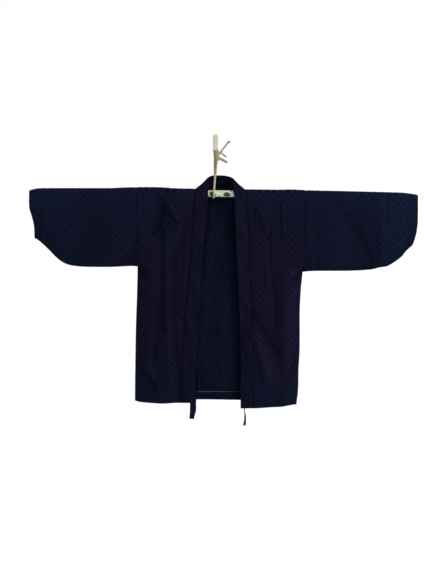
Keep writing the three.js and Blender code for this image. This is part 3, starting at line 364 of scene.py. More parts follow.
# A closed shell of cloth over a grid of places. Equal places are one point, sewn places are
# shared by front and back, and the open edges are closed between the two faces.
def buildShell(name, p, q, sewn, origin, materials, look, flip=False):
    keys = np.stack([p, np.where(sewn, np.abs(q), q), sewn], -1).reshape(-1, 3).round(2)
    kept, ids = np.unique(keys, axis=0, return_inverse=True)
    ids = ids.reshape(-1)
    count = len(kept)
    places = kept[:, 0], kept[:, 1]
    points = np.concatenate([look["outside"](*places), look["inside"](*places)]) * mm
    flatP, flatQ = p.ravel(), q.ravel()
    corners = splitCells(flatP, flatQ, p.shape, origin)
    if flip:
        corners = corners[:, ::-1]
    faces = ids[corners]
    whole = (faces[:, 0] != faces[:, 1]) & (faces[:, 1] != faces[:, 2]) & (faces[:, 2] != faces[:, 0])
    corners, faces = corners[whole], faces[whole]
    starts, ends = faces.ravel(), np.roll(faces, -1, axis=1).ravel()
    single = ~np.isin(starts * count + ends, ends * count + starts)
    startCells, endCells = corners.ravel()[single], np.roll(corners, -1, axis=1).ravel()[single]
    starts, ends = starts[single], ends[single]
    rim = np.stack([ends, starts, starts + count, ends + count], -1)
    rimCells = np.stack([endCells, startCells, startCells, endCells], -1)
    insideFaces, insideCells = faces[:, ::-1] + count, corners[:, ::-1]
    mesh = bpy.data.meshes.new(name)
    mesh.from_pydata(points.tolist(), [], faces.tolist() + insideFaces.tolist() + rim.tolist())
    order = np.concatenate([corners.ravel(), insideCells.ravel(), rimCells.ravel()])
    uv = np.stack([flatP[order] - origin[0], flatQ[order] - origin[1]], -1) * mm
    mesh.uv_layers.new(name="cloth").data.foreach_set("uv", uv.ravel())
    within = insideTone(*places) - cloth["turnShade"] * (look["slot"](*places) == 0)
    values = {"tone": np.clip(np.concatenate([look["tone"](*places), within]), -1, 1),
              "dye": np.tile(np.clip(look["dye"](*places), 0, 1), 2)}
    for attribute, value in values.items():
        mesh.attributes.new(attribute, "FLOAT", "POINT").data.foreach_set("value", value)
    slots = np.zeros(len(mesh.polygons), int)
    slots[len(faces):2 * len(faces)] = look["slot"](flatP[insideCells].mean(1), flatQ[insideCells].mean(1))
    for material in materials:
        mesh.materials.append(material)
    mesh.polygons.foreach_set("material_index", slots)
    return finishMesh(name, mesh)


def linked(name, data):
    made = bpy.data.objects.new(name, data)
    scene.collection.objects.link(made)
    return made


# Welds what coincides, turns the faces outward and shades them smooth
def finishMesh(name, mesh):
    work = bmesh.new()
    work.from_mesh(mesh)
    bmesh.ops.remove_doubles(work, verts=work.verts, dist=2e-6)
    bmesh.ops.recalc_face_normals(work, faces=work.faces)
    work.to_mesh(mesh)
    work.free()
    mesh.shade_smooth()
    mesh.set_sharp_from_angle(angle=math.radians(58))
    return linked(name, mesh)


# Mesh of an object after its modifiers or bevel; the object goes
def settled(made, name):
    mesh = bpy.data.meshes.new_from_object(made.evaluated_get(bpy.context.evaluated_depsgraph_get()))
    mesh.name = name
    made.modifiers.clear()
    bpy.data.objects.remove(made)
    return mesh


def place(made, node):
    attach(made, "root")
    if node:
        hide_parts(node)
    return made


# Materials


def addNode(tree, kind, inputs=None, **settings):
    node = tree.nodes.new(kind)
    for key, value in settings.items():
        setattr(node, key, value)
    for key, value in (inputs or {}).items():
        if isinstance(value, bpy.types.NodeSocket):
            tree.links.new(value, node.inputs[key])
        else:
            node.inputs[key].default_value = value
    return node


# A value worked out from others by one operation
def sums(tree, operation, first, second=0.0, third=0.0):
    return addNode(tree, "ShaderNodeMath", {0: first, 1: second, 2: third}, operation=operation).outputs[0]


def ranged(tree, value, low, high, toLow=0.0, toHigh=1.0):
    inputs = {"Value": value, "From Min": low, "From Max": high, "To Min": toLow, "To Max": toHigh}
    return addNode(tree, "ShaderNodeMapRange", inputs, interpolation_type="SMOOTHSTEP").outputs[0]


def waves(tree, value, period):
    return sums(tree, "SINE", sums(tree, "MULTIPLY", value, 2 * math.pi / period))


def noiseAt(tree, vector, scale, detail):
    inputs = {"Vector": vector, "Scale": scale, "Detail": detail}
    return addNode(tree, "ShaderNodeTexNoise", inputs).outputs["Fac"]


def blended(tree, share, first, second):
    return addNode(tree, "ShaderNodeMix", {0: share, 6: first, 7: second}, data_type="RGBA").outputs[2]


def joined(tree, first, second, third=0.0):
    return addNode(tree, "ShaderNodeCombineXYZ", {0: first, 1: second, 2: third}).outputs[0]


def storedAt(tree, name):
    return addNode(tree, "ShaderNodeAttribute", attribute_name=name).outputs["Fac"]


def uvPlaces(tree):
    return addNode(tree, "ShaderNodeSeparateXYZ",
                   {0: addNode(tree, "ShaderNodeUVMap", uv_map="cloth").outputs[0]}).outputs[:2]


def newMaterial(name):
    material = bpy.data.materials.new(name)
    material.use_nodes = True
    material.node_tree.nodes.clear()
    return material, material.node_tree


# Surface of a material, with the fine relief of its threads
def setSurface(tree, colour, roughness, specular, height=None, strength=0.0, distance=0.0):
    surface = addNode(tree, "ShaderNodeBsdfPrincipled", {"Base Color": colour})
    surface.inputs["Roughness"].default_value = roughness
    surface.inputs["Specular IOR Level"].default_value = specular
    if height is not None:
        relief = {"Height": height, "Strength": strength, "Distance": distance}
        tree.links.new(addNode(tree, "ShaderNodeBump", relief).outputs[0], surface.inputs["Normal"])
    addNode(tree, "ShaderNodeOutputMaterial", {"Surface": surface.outputs[0]})
    return surface


# Lightens or darkens a colour by the stored tone: painted light and shade, with some uneven tone
def paintedLightShadeAndTone(tree, colour):
    share = sums(tree, "MULTIPLY_ADD", storedAt(tree, "tone"), 0.6, 1.0)
    return addNode(tree, "ShaderNodeVectorMath", {0: colour, "Scale": share}, operation="SCALE").outputs[0]


# How near a place is to the rising and the falling lines of the weave: 0 between them, 1 on them
def lineShares(tree, u, v):
    across = sums(tree, "DIVIDE", u, lattice["x"] * mm)
    down = sums(tree, "DIVIDE", v, lattice["run"] * mm)
    shares = []
    for operation in ("ADD", "SUBTRACT"):
        part = sums(tree, "FRACT", sums(tree, operation, across, down))
        shares.append(sums(tree, "ABSOLUTE", sums(tree, "MULTIPLY_ADD", part, 2.0, -1.0)))
    return shares


# Indigo cotton woven with small diamonds
def indigoCotton(name, look):
    material, tree = newMaterial(name)
    u, v = uvPlaces(tree)
    uv = joined(tree, u, v)
    drift = sums(tree, "MULTIPLY_ADD", noiseAt(tree, uv, 32.0, 2.0), 0.009, -0.0045)
    rising, falling = lineShares(tree, sums(tree, "ADD", u, drift), v)
    edge = sums(tree, "SMOOTH_MAX", rising, falling, look["round"])
    patchy = noiseAt(tree, uv, 7.0, 3.0)
    speckle = noiseAt(tree, uv, 75.0, 4.0)
    share = ranged(tree, sums(tree, "MULTIPLY_ADD", patchy, 0.9, storedAt(tree, "dye")), 0.5, 1.05)
    tone = blended(tree, share, linear(look["blue"]), linear(look["purple"]))
    # The lines of the diamonds drawn darker, painted shade in their valleys, and their middles lighter,
    # painted highlight on the raised diamonds; the speckle makes both uneven
    lines = sums(tree, "MAXIMUM", ranged(tree, falling, 0.5, 1.0, 0.0, look["down"]),
                 ranged(tree, rising, 0.66, 1.0, 0.0, look["up"]))
    lines = sums(tree, "MULTIPLY", lines, ranged(tree, speckle, 0.3, 0.7, 1.3, 0.4))
    light = sums(tree, "MULTIPLY", ranged(tree, edge, 0.7, 0.1), look["spot"])
    light = sums(tree, "MULTIPLY", light, ranged(tree, speckle, 0.35, 0.65, 0.0, 1.5))
    colour = blended(tree, lines, tone, linear(look["dark"]))
    colour = paintedLightShadeAndTone(tree, blended(tree, light, colour, linear(look["light"])))
    yarn = sums(tree, "MULTIPLY", waves(tree, u, 0.0014), waves(tree, v, 0.0016))
    height = sums(tree, "MULTIPLY_ADD", waves(tree, edge, 1 / 3), 0.25, yarn)
    height = sums(tree, "MULTIPLY_ADD", edge, -1.6, height)
    height = sums(tree, "MULTIPLY_ADD", speckle, 0.9, height)
    setSurface(tree, colour, 0.92, 0.04, height, 0.6, 0.00018)
    return material


# Reverse of the cloth: plain indigo cotton with fine ribs down the length
def ribbedCotton(name, look):
    material, tree = newMaterial(name)
    u, v = uvPlaces(tree)
    streaks = noiseAt(tree, joined(tree, u, sums(tree, "MULTIPLY", v, 0.3)), 110.0, 3.0)
    wave = waves(tree, sums(tree, "MULTIPLY_ADD", streaks, 0.016, u), look["rib"])
    ribs = sums(tree, "MULTIPLY_ADD", streaks, 3.2, sums(tree, "MULTIPLY", wave, 0.35))
    ribs = ranged(tree, ribs, 0.6, 2.6)
    colour = paintedLightShadeAndTone(tree, blended(tree, ribs, linear(look["dark"]), linear(look["light"])))
    setSurface(tree, colour, 0.94, 0.03, wave, 0.5, 0.0003)
    return material


# Leaves of one kind printed over a colour: one in each cell, turned at random
def printLeaf(tree, places, colour, leaf):
    corner, local = [], []
    for value, size, shift in zip(places, leaf["cell"], leaf["shift"]):
        cell = sums(tree, "ADD", sums(tree, "DIVIDE", value, size * mm), shift)
        corner.append(sums(tree, "FLOOR", cell))
        local.append(sums(tree, "MULTIPLY", sums(tree, "SUBTRACT", sums(tree, "FRACT", cell), 0.5), size))
    chance = addNode(tree, "ShaderNodeTexWhiteNoise", {"Vector": joined(tree, *corner)},
                     noise_dimensions="2D").outputs[0]
    turn = sums(tree, "MULTIPLY", chance, 6.283)
    cosine, sine = sums(tree, "COSINE", turn), sums(tree, "SINE", turn)
    along = sums(tree, "MULTIPLY_ADD", local[0], cosine, sums(tree, "MULTIPLY", local[1], sine))
    across = sums(tree, "SUBTRACT", sums(tree, "MULTIPLY", local[1], cosine),
                  sums(tree, "MULTIPLY", local[0], sine))
    across = sums(tree, "ABSOLUTE", across)
    taper = sums(tree, "DIVIDE", sums(tree, "ABSOLUTE", along), leaf["length"])
    taper = sums(tree, "SUBTRACT", 1.0, sums(tree, "POWER", taper, 2.0))
    room = sums(tree, "MULTIPLY", taper, leaf["width"])
    within = ranged(tree, sums(tree, "SUBTRACT", room, across), 0.0, 0.8)
    vein = ranged(tree, across, 0.7, 0.3)
    return blended(tree, within, colour, blended(tree, vein, linear(leaf["blade"]), linear(leaf["vein"])))


# Thin white cotton printed with green leaves
def printedCotton(name, look):
    material, tree = newMaterial(name)
    u, v = uvPlaces(tree)
    dots = addNode(tree, "ShaderNodeTexVoronoi", {"Vector": joined(tree, u, v), "Scale": 90.0})
    spot = sums(tree, "MULTIPLY", ranged(tree, dots.outputs["Distance"], 0.2, 0.13), 0.8)
    colour = blended(tree, spot, linear(look["ground"]), linear(look["dot"]))
    for leaf in look["leaves"]:
        colour = printLeaf(tree, (u, v), colour, leaf)
    weave = sums(tree, "MULTIPLY", waves(tree, u, 0.0007), waves(tree, v, 0.0007))
    setSurface(tree, colour, 0.85, 0.2, weave, 0.3, 0.0001)
    return material


# Undyed cotton cord, its strands laid in a twist, and darker in its upper part, from a little above the
# collar upward
def twistedCotton(name, look):
    material, tree = newMaterial(name)
    places = addNode(tree, "ShaderNodeTexCoord").outputs["Object"]
    fibre = noiseAt(tree, places, 700.0, 3.0)
    x, y, z = addNode(tree, "ShaderNodeSeparateXYZ", {0: places}).outputs
    across = sums(tree, "MULTIPLY_ADD", x, 1.3, sums(tree, "MULTIPLY", y, 0.7))
    twist = waves(tree, sums(tree, "ADD", across, z), look["lay"])
    share = ranged(tree, sums(tree, "MULTIPLY_ADD", twist, 0.14, fibre), 0.25, 0.75)
    colour = blended(tree, share, linear(look["dark"]), linear(look["light"]))
    colour = blended(tree, ranged(tree, z, -0.112, -0.1, 0.0, 0.75), colour, linear(look["aboveCollar"]))
    setSurface(tree, colour, 0.9, 0.2, sums(tree, "MULTIPLY_ADD", twist, 0.8, fibre), 0.6, 0.0004)
    return material


def plainMaterial(name, colour, roughness, specular):
    material, tree = newMaterial(name)
    setSurface(tree, linear(colour), roughness, specular)
    return material


quilted = indigoCotton("indigoDiamondCotton", {
    "blue": "#0b1124", "purple": "#110f23", "dark": "#05070f", "light": "#1d2138", "down": 0.42,
    "up": 0.16, "spot": 0.2, "round": 0.12})
banded = indigoCotton("indigoBandCotton", {
    "blue": "#0c0e1f", "purple": "#100d1f", "dark": "#06060e", "light": "#1c1d33", "down": 0.35,
    "up": 0.3, "spot": 0.22, "round": 0.37})
tieCotton = indigoCotton("indigoTieCotton", {
    "blue": "#111429", "purple": "#131129", "dark": "#090a16", "light": "#24263e", "down": 0.4,
    "up": 0.3, "spot": 0.3, "round": 0.37})
bandReverse = ribbedCotton("indigoBandReverse", {"dark": "#05070e", "light": "#0d101d", "rib": 0.0061})
lining = ribbedCotton("indigoRibbedReverse", {"dark": "#080d1b", "light": "#0e1325", "rib": 0.0078})
printed = printedCotton("leafPrintCotton", {"ground": "#d9d6bf", "dot": "#6f6880", "leaves": [
    {"cell": (33.93, 29.0), "shift": (0.31, 0.2), "length": 6.5, "width": 4.0, "blade": "#b9b4bd",
     "vein": "#cfcbd0"},
    {"cell": (67.86, 60.0), "shift": (0.617, 0.105), "length": 19.0, "width": 8.5, "blade": "#a3ccb0",
     "vein": "#c8dcc6"},
    {"cell": (33.93, 47.6), "shift": (0.12, 0.981), "length": 13.5, "width": 9.5, "blade": "#1f5236",
     "vein": "#3f7d59"},
]})
cordCotton = twistedCotton("undyedCordCotton", {
    "dark": "#9a8d6c", "light": "#d3c8a8", "aboveCollar": "#9c9069", "lay": 0.0034})
hookPlastic = plainMaterial("creamHookPlastic", "#d0cab8", 0.42, 0.4)
threadCotton = plainMaterial("indigoThread", "#1c2036", 0.8, 0.1)
selvedgeCotton = plainMaterial("undyedSelvedge", "#52545b", 0.9, 0.1)
print("materials made")

# Body halves

outsides = {}


def hemAt(x, run):
    return np.where(run > 0, curveAt(frontHem, x), curveAt(backHem, x))


def sideDistance(side, x, run):
    return np.maximum(sides[side] * (edgeX(sideEdge, side, run) - x), 0)


# Distance from the side seam, which ends below the armhole
def sewnDistance(side, x, run):
    return np.hypot(sideDistance(side, x, run), np.maximum(armhole[side] - np.abs(run), 0))


def bodyFace(side):
    return lambda x, run: clothPoint(x, run, openedAt(sewnDistance(side, x, run)))


def makeBody(side):
    hole = armhole[side]
    neck = neckRun[side]
    origin = (centreBack[0][1], 0)
    face = bodyFace(side)

    # The edge towards the middle: the centre of the back, or from the neck on the collar's seam
    def openX(run, full):
        centre = curveAt(centreBack, np.abs(run))
        return np.where(full, centre, curveAt(collarSeam[side], run))

    def edgeDistances(x, run):
        fromSeam = np.abs(openX(run, run < neck + 0.01) - x)
        fromHem = np.abs(hemAt(x, run) - np.abs(run))
        fromArm = np.where(np.abs(run) < hole, np.abs(edgeX(sideEdge, side, run) - x), np.inf)
        return fromSeam, fromHem, fromArm

    def outside(x, run):
        fromRim = np.minimum.reduce(edgeDistances(x, run))
        return raised(face, x, run, padded(x, run, origin, sewnDistance(side, x, run), fromRim))

    # Painted shade along the collar and armhole seams and along the hem's stitched lines, painted
    # highlight beside the armhole seam and along the hem's edge
    def toneAt(x, run):
        fromSeam, fromHem, fromArm = edgeDistances(x, run)
        tone = outsideTone(x, run) - 0.75 * bell(fromSeam, 2.8) - 0.6 * bell(fromArm, 2.6)
        tone = tone + 0.3 * bell(fromArm - 6.5, 2.6) + 0.25 * bell(fromHem, 4)
        stitched = np.where(run > 0, cloth["frontStitch"], cloth["turnUp"])
        return tone - 0.35 * bell(fromHem - stitched, 2.4)

    def inside(x, run):
        close = 1 - np.clip(sideDistance(side, x, run) / cloth["insetReach"], 0, 1)
        turned = 1 - smoothStep(cloth["turnUp"], cloth["turnUp"] + 1.5, hemAt(x, run) - np.abs(run))
        point = raised(face, x, run, -cloth["turnThickness"] * turned * (1 - close))
        sewnHere = np.clip(1 - (hole - np.abs(run)) / cloth["insetRise"], 0, 1)
        point[..., 0] -= sides[side] * cloth["inset"] * close * sewnHere
        return point

    def insideSlot(x, run):
        return np.where(hemAt(x, run) - np.abs(run) > cloth["turnUp"], 1, 0)

    # Rows on the weave and at the corners; the neck's row is there twice, so that it is a step
    runs = latticeLines(0, 240, lattice["run"])
    for stop in (neck, -hole, hole):
        runs = runs[np.abs(runs - stop) > lattice["rowGap"]]
    rows = [(run, run < neck) for run in runs]
    rows += [(neck, True), (neck, False), (-hole, True), (hole, False)]
    rows.sort(key=lambda row: (row[0], not row[1]))
    runs, full = (np.array(part)[:, None] for part in zip(*rows))
    columns = latticeLines(origin[0], 120, lattice["x"])[None, :]

    def edgesAt(run):
        return edgeX(sideEdge, side, run), openX(run, full)

    x, run, _ = fitGrid(columns, runs, edgesAt, hemAt, 2)
    sewn = (np.abs(x - edgeX(sideEdge, side, run)) < 0.001) & (np.abs(run) > hole - 0.01)
    outsides["body", side] = outside
    return buildShell("body" + side.capitalize(), x, run, sewn, origin, [quilted, lining], {
        "outside": outside, "inside": inside, "tone": toneAt, "dye": dyeAt, "slot": insideSlot})


# Sleeves


def allOf(x, run):
    return np.ones(len(x), int)


def makeSleeve(side):
    bottom = sleeveBottom[side]
    length = bottom[-1][0]
    origin = (centreBack[0][1] + sides[side] * lattice["sleeveX"], lattice["sleeveRun"])

    def edgesAt(run):
        return edgeX(sideEdge, side, run), edgeX(cuffEdge, side, run)

    def bottomAt(x, run):
        arm, cuff = edgesAt(run)
        return curveAt(bottom, (cuff - x) / (cuff - arm) * length)

    def seamDistance(x, run):
        slope = (bottomAt(x + 2, run) - bottomAt(x - 2, run)) / 4
        return np.maximum(bottomAt(x, run) - np.abs(run), 0) / np.hypot(1, slope)

    def face(x, run):
        return clothPoint(x, run, openedAt(seamDistance(x, run)))

    def outside(x, run):
        fromRim = np.minimum(*(np.abs(edge - x) for edge in edgesAt(run)))
        return raised(face, x, run, padded(x, run, origin, seamDistance(x, run), fromRim))

    # Painted shade along the armhole seam and a painted highlight along the cuff's edge
    def toneAt(x, run):
        arm, cuff = edgesAt(run)
        return outsideTone(x, run) - 0.6 * bell(arm - x, 2.6) + 0.25 * bell(cuff - x, 4)

    def inside(x, run):
        point = face(x, run)
        point[..., 2] += cloth["inset"] * (1 - np.clip(seamDistance(x, run) / cloth["insetReach"], 0, 1))
        return point

    runs = latticeLines(origin[1], 96, lattice["run"])[:, None]
    columns = latticeLines(origin[0], 240, lattice["x"])[None, :]
    x, run, limit = fitGrid(columns, runs, edgesAt, bottomAt, 3)
    sewn = np.abs(np.abs(run) - limit) < 0.01
    outsides["sleeve", side] = outside
    return buildShell("sleeve" + side.capitalize(), x, run, sewn, origin, [quilted, lining], {
        "outside": outside, "inside": inside, "tone": toneAt, "dye": dyeAt, "slot": allOf})


cutPieces = [("body", makeBody, "left", (0.295, 1.418), 0.325),
             ("body", makeBody, "right", (0.281, 1.436), 0.312),
             ("sleeve", makeSleeve, "left", (0.353, 0.53), 0.176),
             ("sleeve", makeSleeve, "right", (0.375, 0.548), 0.192)]
for kind, make, side, flat, area in cutPieces:
    piece = place(make(side), kind + "_" + side)
    print(side, kind, "made")

# Stitches: short threads laid along lines on the cloth


def stitchTree():
    tree = bpy.data.node_groups.new("runningStitches", "GeometryNodeTree")
    for name, kind in (("Geometry", "Geometry"), ("Pitch", "Float"), ("Length", "Float"),
                       ("Radius", "Float"), ("Seed", "Int"), ("Thread", "Material")):
        tree.interface.new_socket(name, in_out="INPUT", socket_type="NodeSocket" + kind)
    tree.interface.new_socket("Geometry", in_out="OUTPUT", socket_type="NodeSocketGeometry")
    given = tree.nodes.new("NodeGroupInput").outputs
    line = addNode(tree, "GeometryNodeMeshToCurve", {0: given["Geometry"]}).outputs[0]
    spaced = addNode(tree, "GeometryNodeResampleCurve", {"Curve": line, "Length": given["Pitch"]},
                     mode="LENGTH")
    bead = addNode(tree, "GeometryNodeMeshUVSphere", {
        "Segments": 8, "Rings": 5, "Radius": given["Radius"]})
    stretch = sums(tree, "DIVIDE", sums(tree, "DIVIDE", given["Length"], given["Radius"]), 2.0)
    thread = addNode(tree, "GeometryNodeTransform", {
        "Geometry": bead.outputs[0], "Scale": joined(tree, 1.0, 1.0, stretch)})
    uneven = addNode(tree, "FunctionNodeRandomValue", {2: 0.8, 3: 1.1, "Seed": given["Seed"]},
                     data_type="FLOAT")
    tangent = addNode(tree, "GeometryNodeInputTangent").outputs[0]
    turned = addNode(tree, "FunctionNodeAlignRotationToVector", {"Vector": tangent}, axis="Z")
    laid = addNode(tree, "GeometryNodeInstanceOnPoints", {
        "Points": spaced.outputs[0], "Instance": thread.outputs[0], "Rotation": turned.outputs[0],
        "Scale": uneven.outputs[1]})
    real = addNode(tree, "GeometryNodeRealizeInstances", {0: laid.outputs[0]}).outputs[0]
    done = addNode(tree, "GeometryNodeSetMaterial", {"Geometry": real, "Material": given["Thread"]})
    addNode(tree, "NodeGroupOutput", {0: done.outputs[0]})
    return tree


stitching = stitchTree()
handStitch = {"Pitch": 0.0105, "Length": 0.0045, "Radius": 0.0004, "Seed": 7, "Thread": threadCotton}


def makeStitches(name, lines, look):
    points, edges = [], []
    for line in lines:
        edges += [(len(points) + k, len(points) + k + 1) for k in range(len(line) - 1)]
        points += line
    guide = bpy.data.meshes.new(name + "Guide")
    guide.from_pydata(points, edges, [])
    made = linked(name + "Guide", guide)
    modifier = made.modifiers.new("stitches", "NODES")
    modifier.node_group = stitching
    for item in stitching.interface.items_tree:
        if item.in_out == "INPUT" and item.name in look:
            modifier[item.identifier] = look[item.name]
    mesh = settled(made, name)
    bpy.data.meshes.remove(guide)
    mesh.shade_smooth()
    return linked(name, mesh)


def stitchLine(piece, side, x, run):
    x, run = np.broadcast_arrays(np.asarray(x, float), np.asarray(run, float))
    return (outsides[piece, side](x, run) * mm).tolist()


hemLines = []
for side, start, end in (("left", -258, -124), ("right", 128, 260)):
    x = np.linspace(start, end, 60)
    hemLines.append(stitchLine("body", side, x, curveAt(frontHem, x) - cloth["frontStitch"]))
for side, start, end in (("left", -258, 22), ("right", 34, 256)):
    x = np.linspace(start, end, 90)
    hemLines.append(stitchLine("body", side, x, cloth["turnUp"] - curveAt(backHem, x)))
cuffLines = [stitchLine("sleeve", side, x, np.linspace(-reach, reach, count))
             for side, x, reach, count in (("left", -575, 194, 150), ("right", 560, 240, 180))]
for name, lines in (("hemStitches", hemLines), ("cuffStitches", cuffLines)):
    place(makeStitches(name, lines, handStitch), None)
print("stitches made")

# Collar: the way along it is minus the run on the left front, goes on across the back of the
# neck, and then down the right front
collar = {"thickness": 5, "seamGap": 0.05, "neckGap": 0.3, "width": 50, "rounding": 2.6, "relief": 0.7,
          "rowStep": 13.5, "rowsDown": {"left": 51, "right": 50}, "neckStep": 13, "hemNear": 710}
# How much lighter or darker the band is drawn and how far its dye leans to purple, by the way along it
bandLightness = [(-713, 0.05), (-560, 0), (-450, -0.14), (-330, 0), (-230, -0.08), (-170, 0.1), (-60, 0.1),
            (-30, 0.4), (90, 0), (180, 0.4), (240, 0.54), (420, 0.55), (560, 0.45), (600, 0.12),
            (720, 0), (800, 0.1), (903, 0.1)]
bandDye = [(-713, 0), (-610, 0.05), (-540, 0.28), (-420, 0.55), (-330, 0.7), (-250, 0.42), (-60, 0.34),
           (60, 0.2), (190, 0.06), (290, 0.22), (350, 0.4), (420, 0.65), (540, 0.85), (620, 0.6),
           (740, 0.3), (775, 0.02), (903, 0)]
freeEdge = [
    (-713, -64.7, -42.5, -863), (-592, -66.7, -40, -742.5), (-539, -64, -39, -690),
    (-433, -58.7, -38, -584), (-328, -50.8, -38, -478.5), (-196, -42.9, -40, -346.5),
    (-117, -31.2, -42.5, -267), (-58, -27.8, -44, -208), (-40, -26, -44.5, -190),
    (-18, -24.2, -44.8, -166), (-9, -23.8, -43.5, -148), (0, -24.2, -37.5, -130), (7, -24.2, -29, -119.5),
    (13.5, -22, -21.5, -115), (30, -15, -15, -110.4), (55, -3, -12, -108.2), (90, 15, -11, -108.3),
    (125, 33, -12, -109.6), (149, 48, -15, -113.5), (165.5, 55, -21.5, -118),
    (172, 57, -29, -122.5), (179, 57.3, -37.5, -131), (188, 57.8, -43.5, -149),
    (197, 58.8, -44.8, -167), (219, 62.8, -44.5, -191), (290, 64.6, -43.5, -265),
    (446, 71.6, -41, -421), (550, 76.9, -39.5, -525.4), (706, 82.2, -39.5, -681.5),
    (903, 82.2, -42, -879.2),
]
neckStart = -neckRun["left"]
neckEnd = neckStart + backNeck["right"] - backNeck["left"]


def collarSeamPoint(side, x, run, toCollar):
    gap = collar["neckGap"] if run < 0 else collar["seamGap"]
    x, run = np.array([x], float), np.array([run], float)
    onBody = raised(bodyFace(side), x, run, collar["thickness"] / 2)[0]
    return onBody + np.array(toCollar) / np.linalg.norm(toCollar) * gap


# Way along the band and point on its seam, for rows down both fronts and across the neck
def collarStations():
    rows = []
    for side, sign in sides.items():
        corner = neckRun[side]
        hemRun = float(curveAt(frontHem, curveAt(collarSeam[side], collar["hemNear"])))
        below = [armhole[side] + collar["rowStep"] * (number - armholeRows)
                 for number in range(collar["rowsDown"][side], armholeRows, -1)]
        above = [armhole[side] / armholeRows * number
                 for number in [*range(armholeRows, 0, -1), 0.5, 0, -0.5, -1]]
        for run in [hemRun, *below, *above]:
            x = float(curveAt(collarSeam[side], run))
            toCollar = (-sign, 0, 0 if run > corner + 0.01 else 1)
            way = -run if side == "left" else neckEnd + run - corner
            rows.append((way, *collarSeamPoint(side, x, run, toCollar)))
    for column in range(-5, 6):
        x = centreBack[0][1] + collar["neckStep"] * column
        side = "left" if column < 0 else "right"
        seamPoint = collarSeamPoint(side, x, neckRun["left"], (0, -0.4, 0.9))
        rows.append((neckStart + x - backNeck["left"], *seamPoint))
    rows.sort(key=lambda row: row[0])
    return np.array(rows)


def makeCollarBand():
    stations = collarStations()
    ways, seam = stations[:, 0], stations[:, 1:]
    free = curvesAt(freeEdge, ways, (1, 2, 3))
    normal = np.cross(free - seam, stepsOf((seam + free) / 2))
    normal /= np.linalg.norm(normal, axis=-1, keepdims=True)
    table = np.column_stack([ways, seam, free, normal])

    # Point of the band's middle layer, raised off it by a lift
    def bandPoint(across, way, lift):
        seamAt, freeAt, turned = (curvesAt(table, way, range(start, start + 3)) for start in (1, 4, 7))
        point = seamAt + (freeAt - seamAt) * (across / collar["width"])[..., None]
        return point + turned * lift[..., None]

    def halfAt(across):
        fromFree = np.clip((collar["width"] - across) / collar["rounding"], 0, 1)
        return collar["thickness"] / 2 * np.sqrt(1 - (1 - fromFree) ** 2)

    def outside(across, way):
        lift = halfAt(across) * (1 - 0.6 * bell(across, 4))
        relief = collar["relief"] * diamonds(across, way) * np.clip(halfAt(across) - 1.5, 0, 1)
        return bandPoint(across, way, lift + relief)

    # An uneven tone and the band's lightness along its way; painted shade along its seam edge, less low on
    # the right front; painted highlight beside the seam low down, near the free edge at the chest and
    # along the free edge
    def toneAt(across, way):
        low = smoothStep(600, 670, way)
        chest = smoothStep(-40, -70, way) * smoothStep(-480, -330, way)
        tone = 0.35 * np.sin(way / 17 + across / 9) * np.sin(way / 41) + curveAt(bandLightness, way)
        tone += (0.55 * low - 0.7) * bell(across, 2.6) + 0.3 * low * bell(across - 6, 5)
        tone += 0.2 * chest * bell(across - 42, 9)
        return tone + 0.25 * bell(collar["width"] - across, 3)

    across = np.array([0, 1.5, 4, 8, 12, 16, 20, 24, 28, 32, 36, 40, 43.5, 46, 48, 49.3, 50.0])
    p, q = np.broadcast_arrays(across[None, :], np.linspace(ways[0], ways[-1], 412)[:, None])
    return buildShell("collarBand", p, q, np.zeros(p.shape, bool), (0, 0), [banded, bandReverse], {
        "outside": outside, "inside": lambda across, way: bandPoint(across, way, -halfAt(across)),
        "tone": toneAt, "dye": lambda across, way: curveAt(bandDye, way) + 0.1 * np.sin(way / 37),
        "slot": allOf}, flip=True)


band = place(makeCollarBand(), "collar")
print("collar made")


def anglesAround(count):
    return np.arange(count) / count * 2 * math.pi


# Rings of points round a row of centres, by two directions and how far to go in each
def ringsRound(centres, first, second, firstReach, secondReach):
    widths = first[:, None] * firstReach[..., None]
    return centres[:, None] + widths + second[:, None] * secondReach[..., None]


# A tube through rings of points, capped at both ends, with its UV along and round it
def tubeMesh(name, rings, material, uvStep):
    count, around = rings.shape[:2]
    faces, uvs = [], []
    for ring in range(count - 1):
        for k in range(around):
            square = ((k, ring), (k + 1, ring), (k + 1, ring + 1), (k, ring + 1))
            faces.append([v * around + u % around for u, v in square])
            uvs += [(u * uvStep[0] * mm, v * uvStep[1] * mm) for u, v in square]
    for ring in (0, count - 1):
        faces.append([ring * around + k for k in range(around)])
        uvs += [(0.002 * math.cos(k), 0.002 * math.sin(k)) for k in range(around)]
    mesh = bpy.data.meshes.new(name)
    mesh.from_pydata(rings.reshape(-1, 3).tolist(), [], faces)
    mesh.uv_layers.new(name="cloth").data.foreach_set("uv", np.array(uvs, float).ravel())
    mesh.materials.append(material)
    return finishMesh(name, mesh)


# Along the selvedge: how far forward it reaches, and how deep it is, by x
selvedge = {"left": -235, "right": 240, "above": 0.6, "back": 0.2, "top": 0.5,
            "forward": [(-60, -4.2), (-20, -3.4), (30, -1.7), (60, -1.7)],
            "depth": [(-235, 1.25), (44, 1.25), (54, 0.5), (240, 0.4)]}


# Pale selvedge along the top of the turned-up hem, inside the back
def makeSelvedge():
    x = np.linspace(selvedge["left"], selvedge["right"], 120)
    run = cloth["turnUp"] + selvedge["above"] + np.clip(x / 60, -0.3, 2) - curveAt(backHem, x)
    edge = np.where(x < 30, x - curveAt(sideEdge["left"], -run), curveAt(sideEdge["right"], -run) - x)
    line = clothPoint(x, run, openedAt(edge))
    forward = np.interp(x, *zip(*selvedge["forward"]))
    low = selvedge["top"] - np.interp(x, *zip(*selvedge["depth"]))
    corners = [(forward, low), (forward, selvedge["top"]), (selvedge["back"], selvedge["top"]),
               (selvedge["back"], low)]
    rings = np.stack([line + np.stack([0 * x, y + 0 * x, z + 0 * x], -1) for y, z in corners], 1)
    return tubeMesh("hemSelvedge", rings * mm, selvedgeCotton, (1, 4))


place(makeSelvedge(), None)

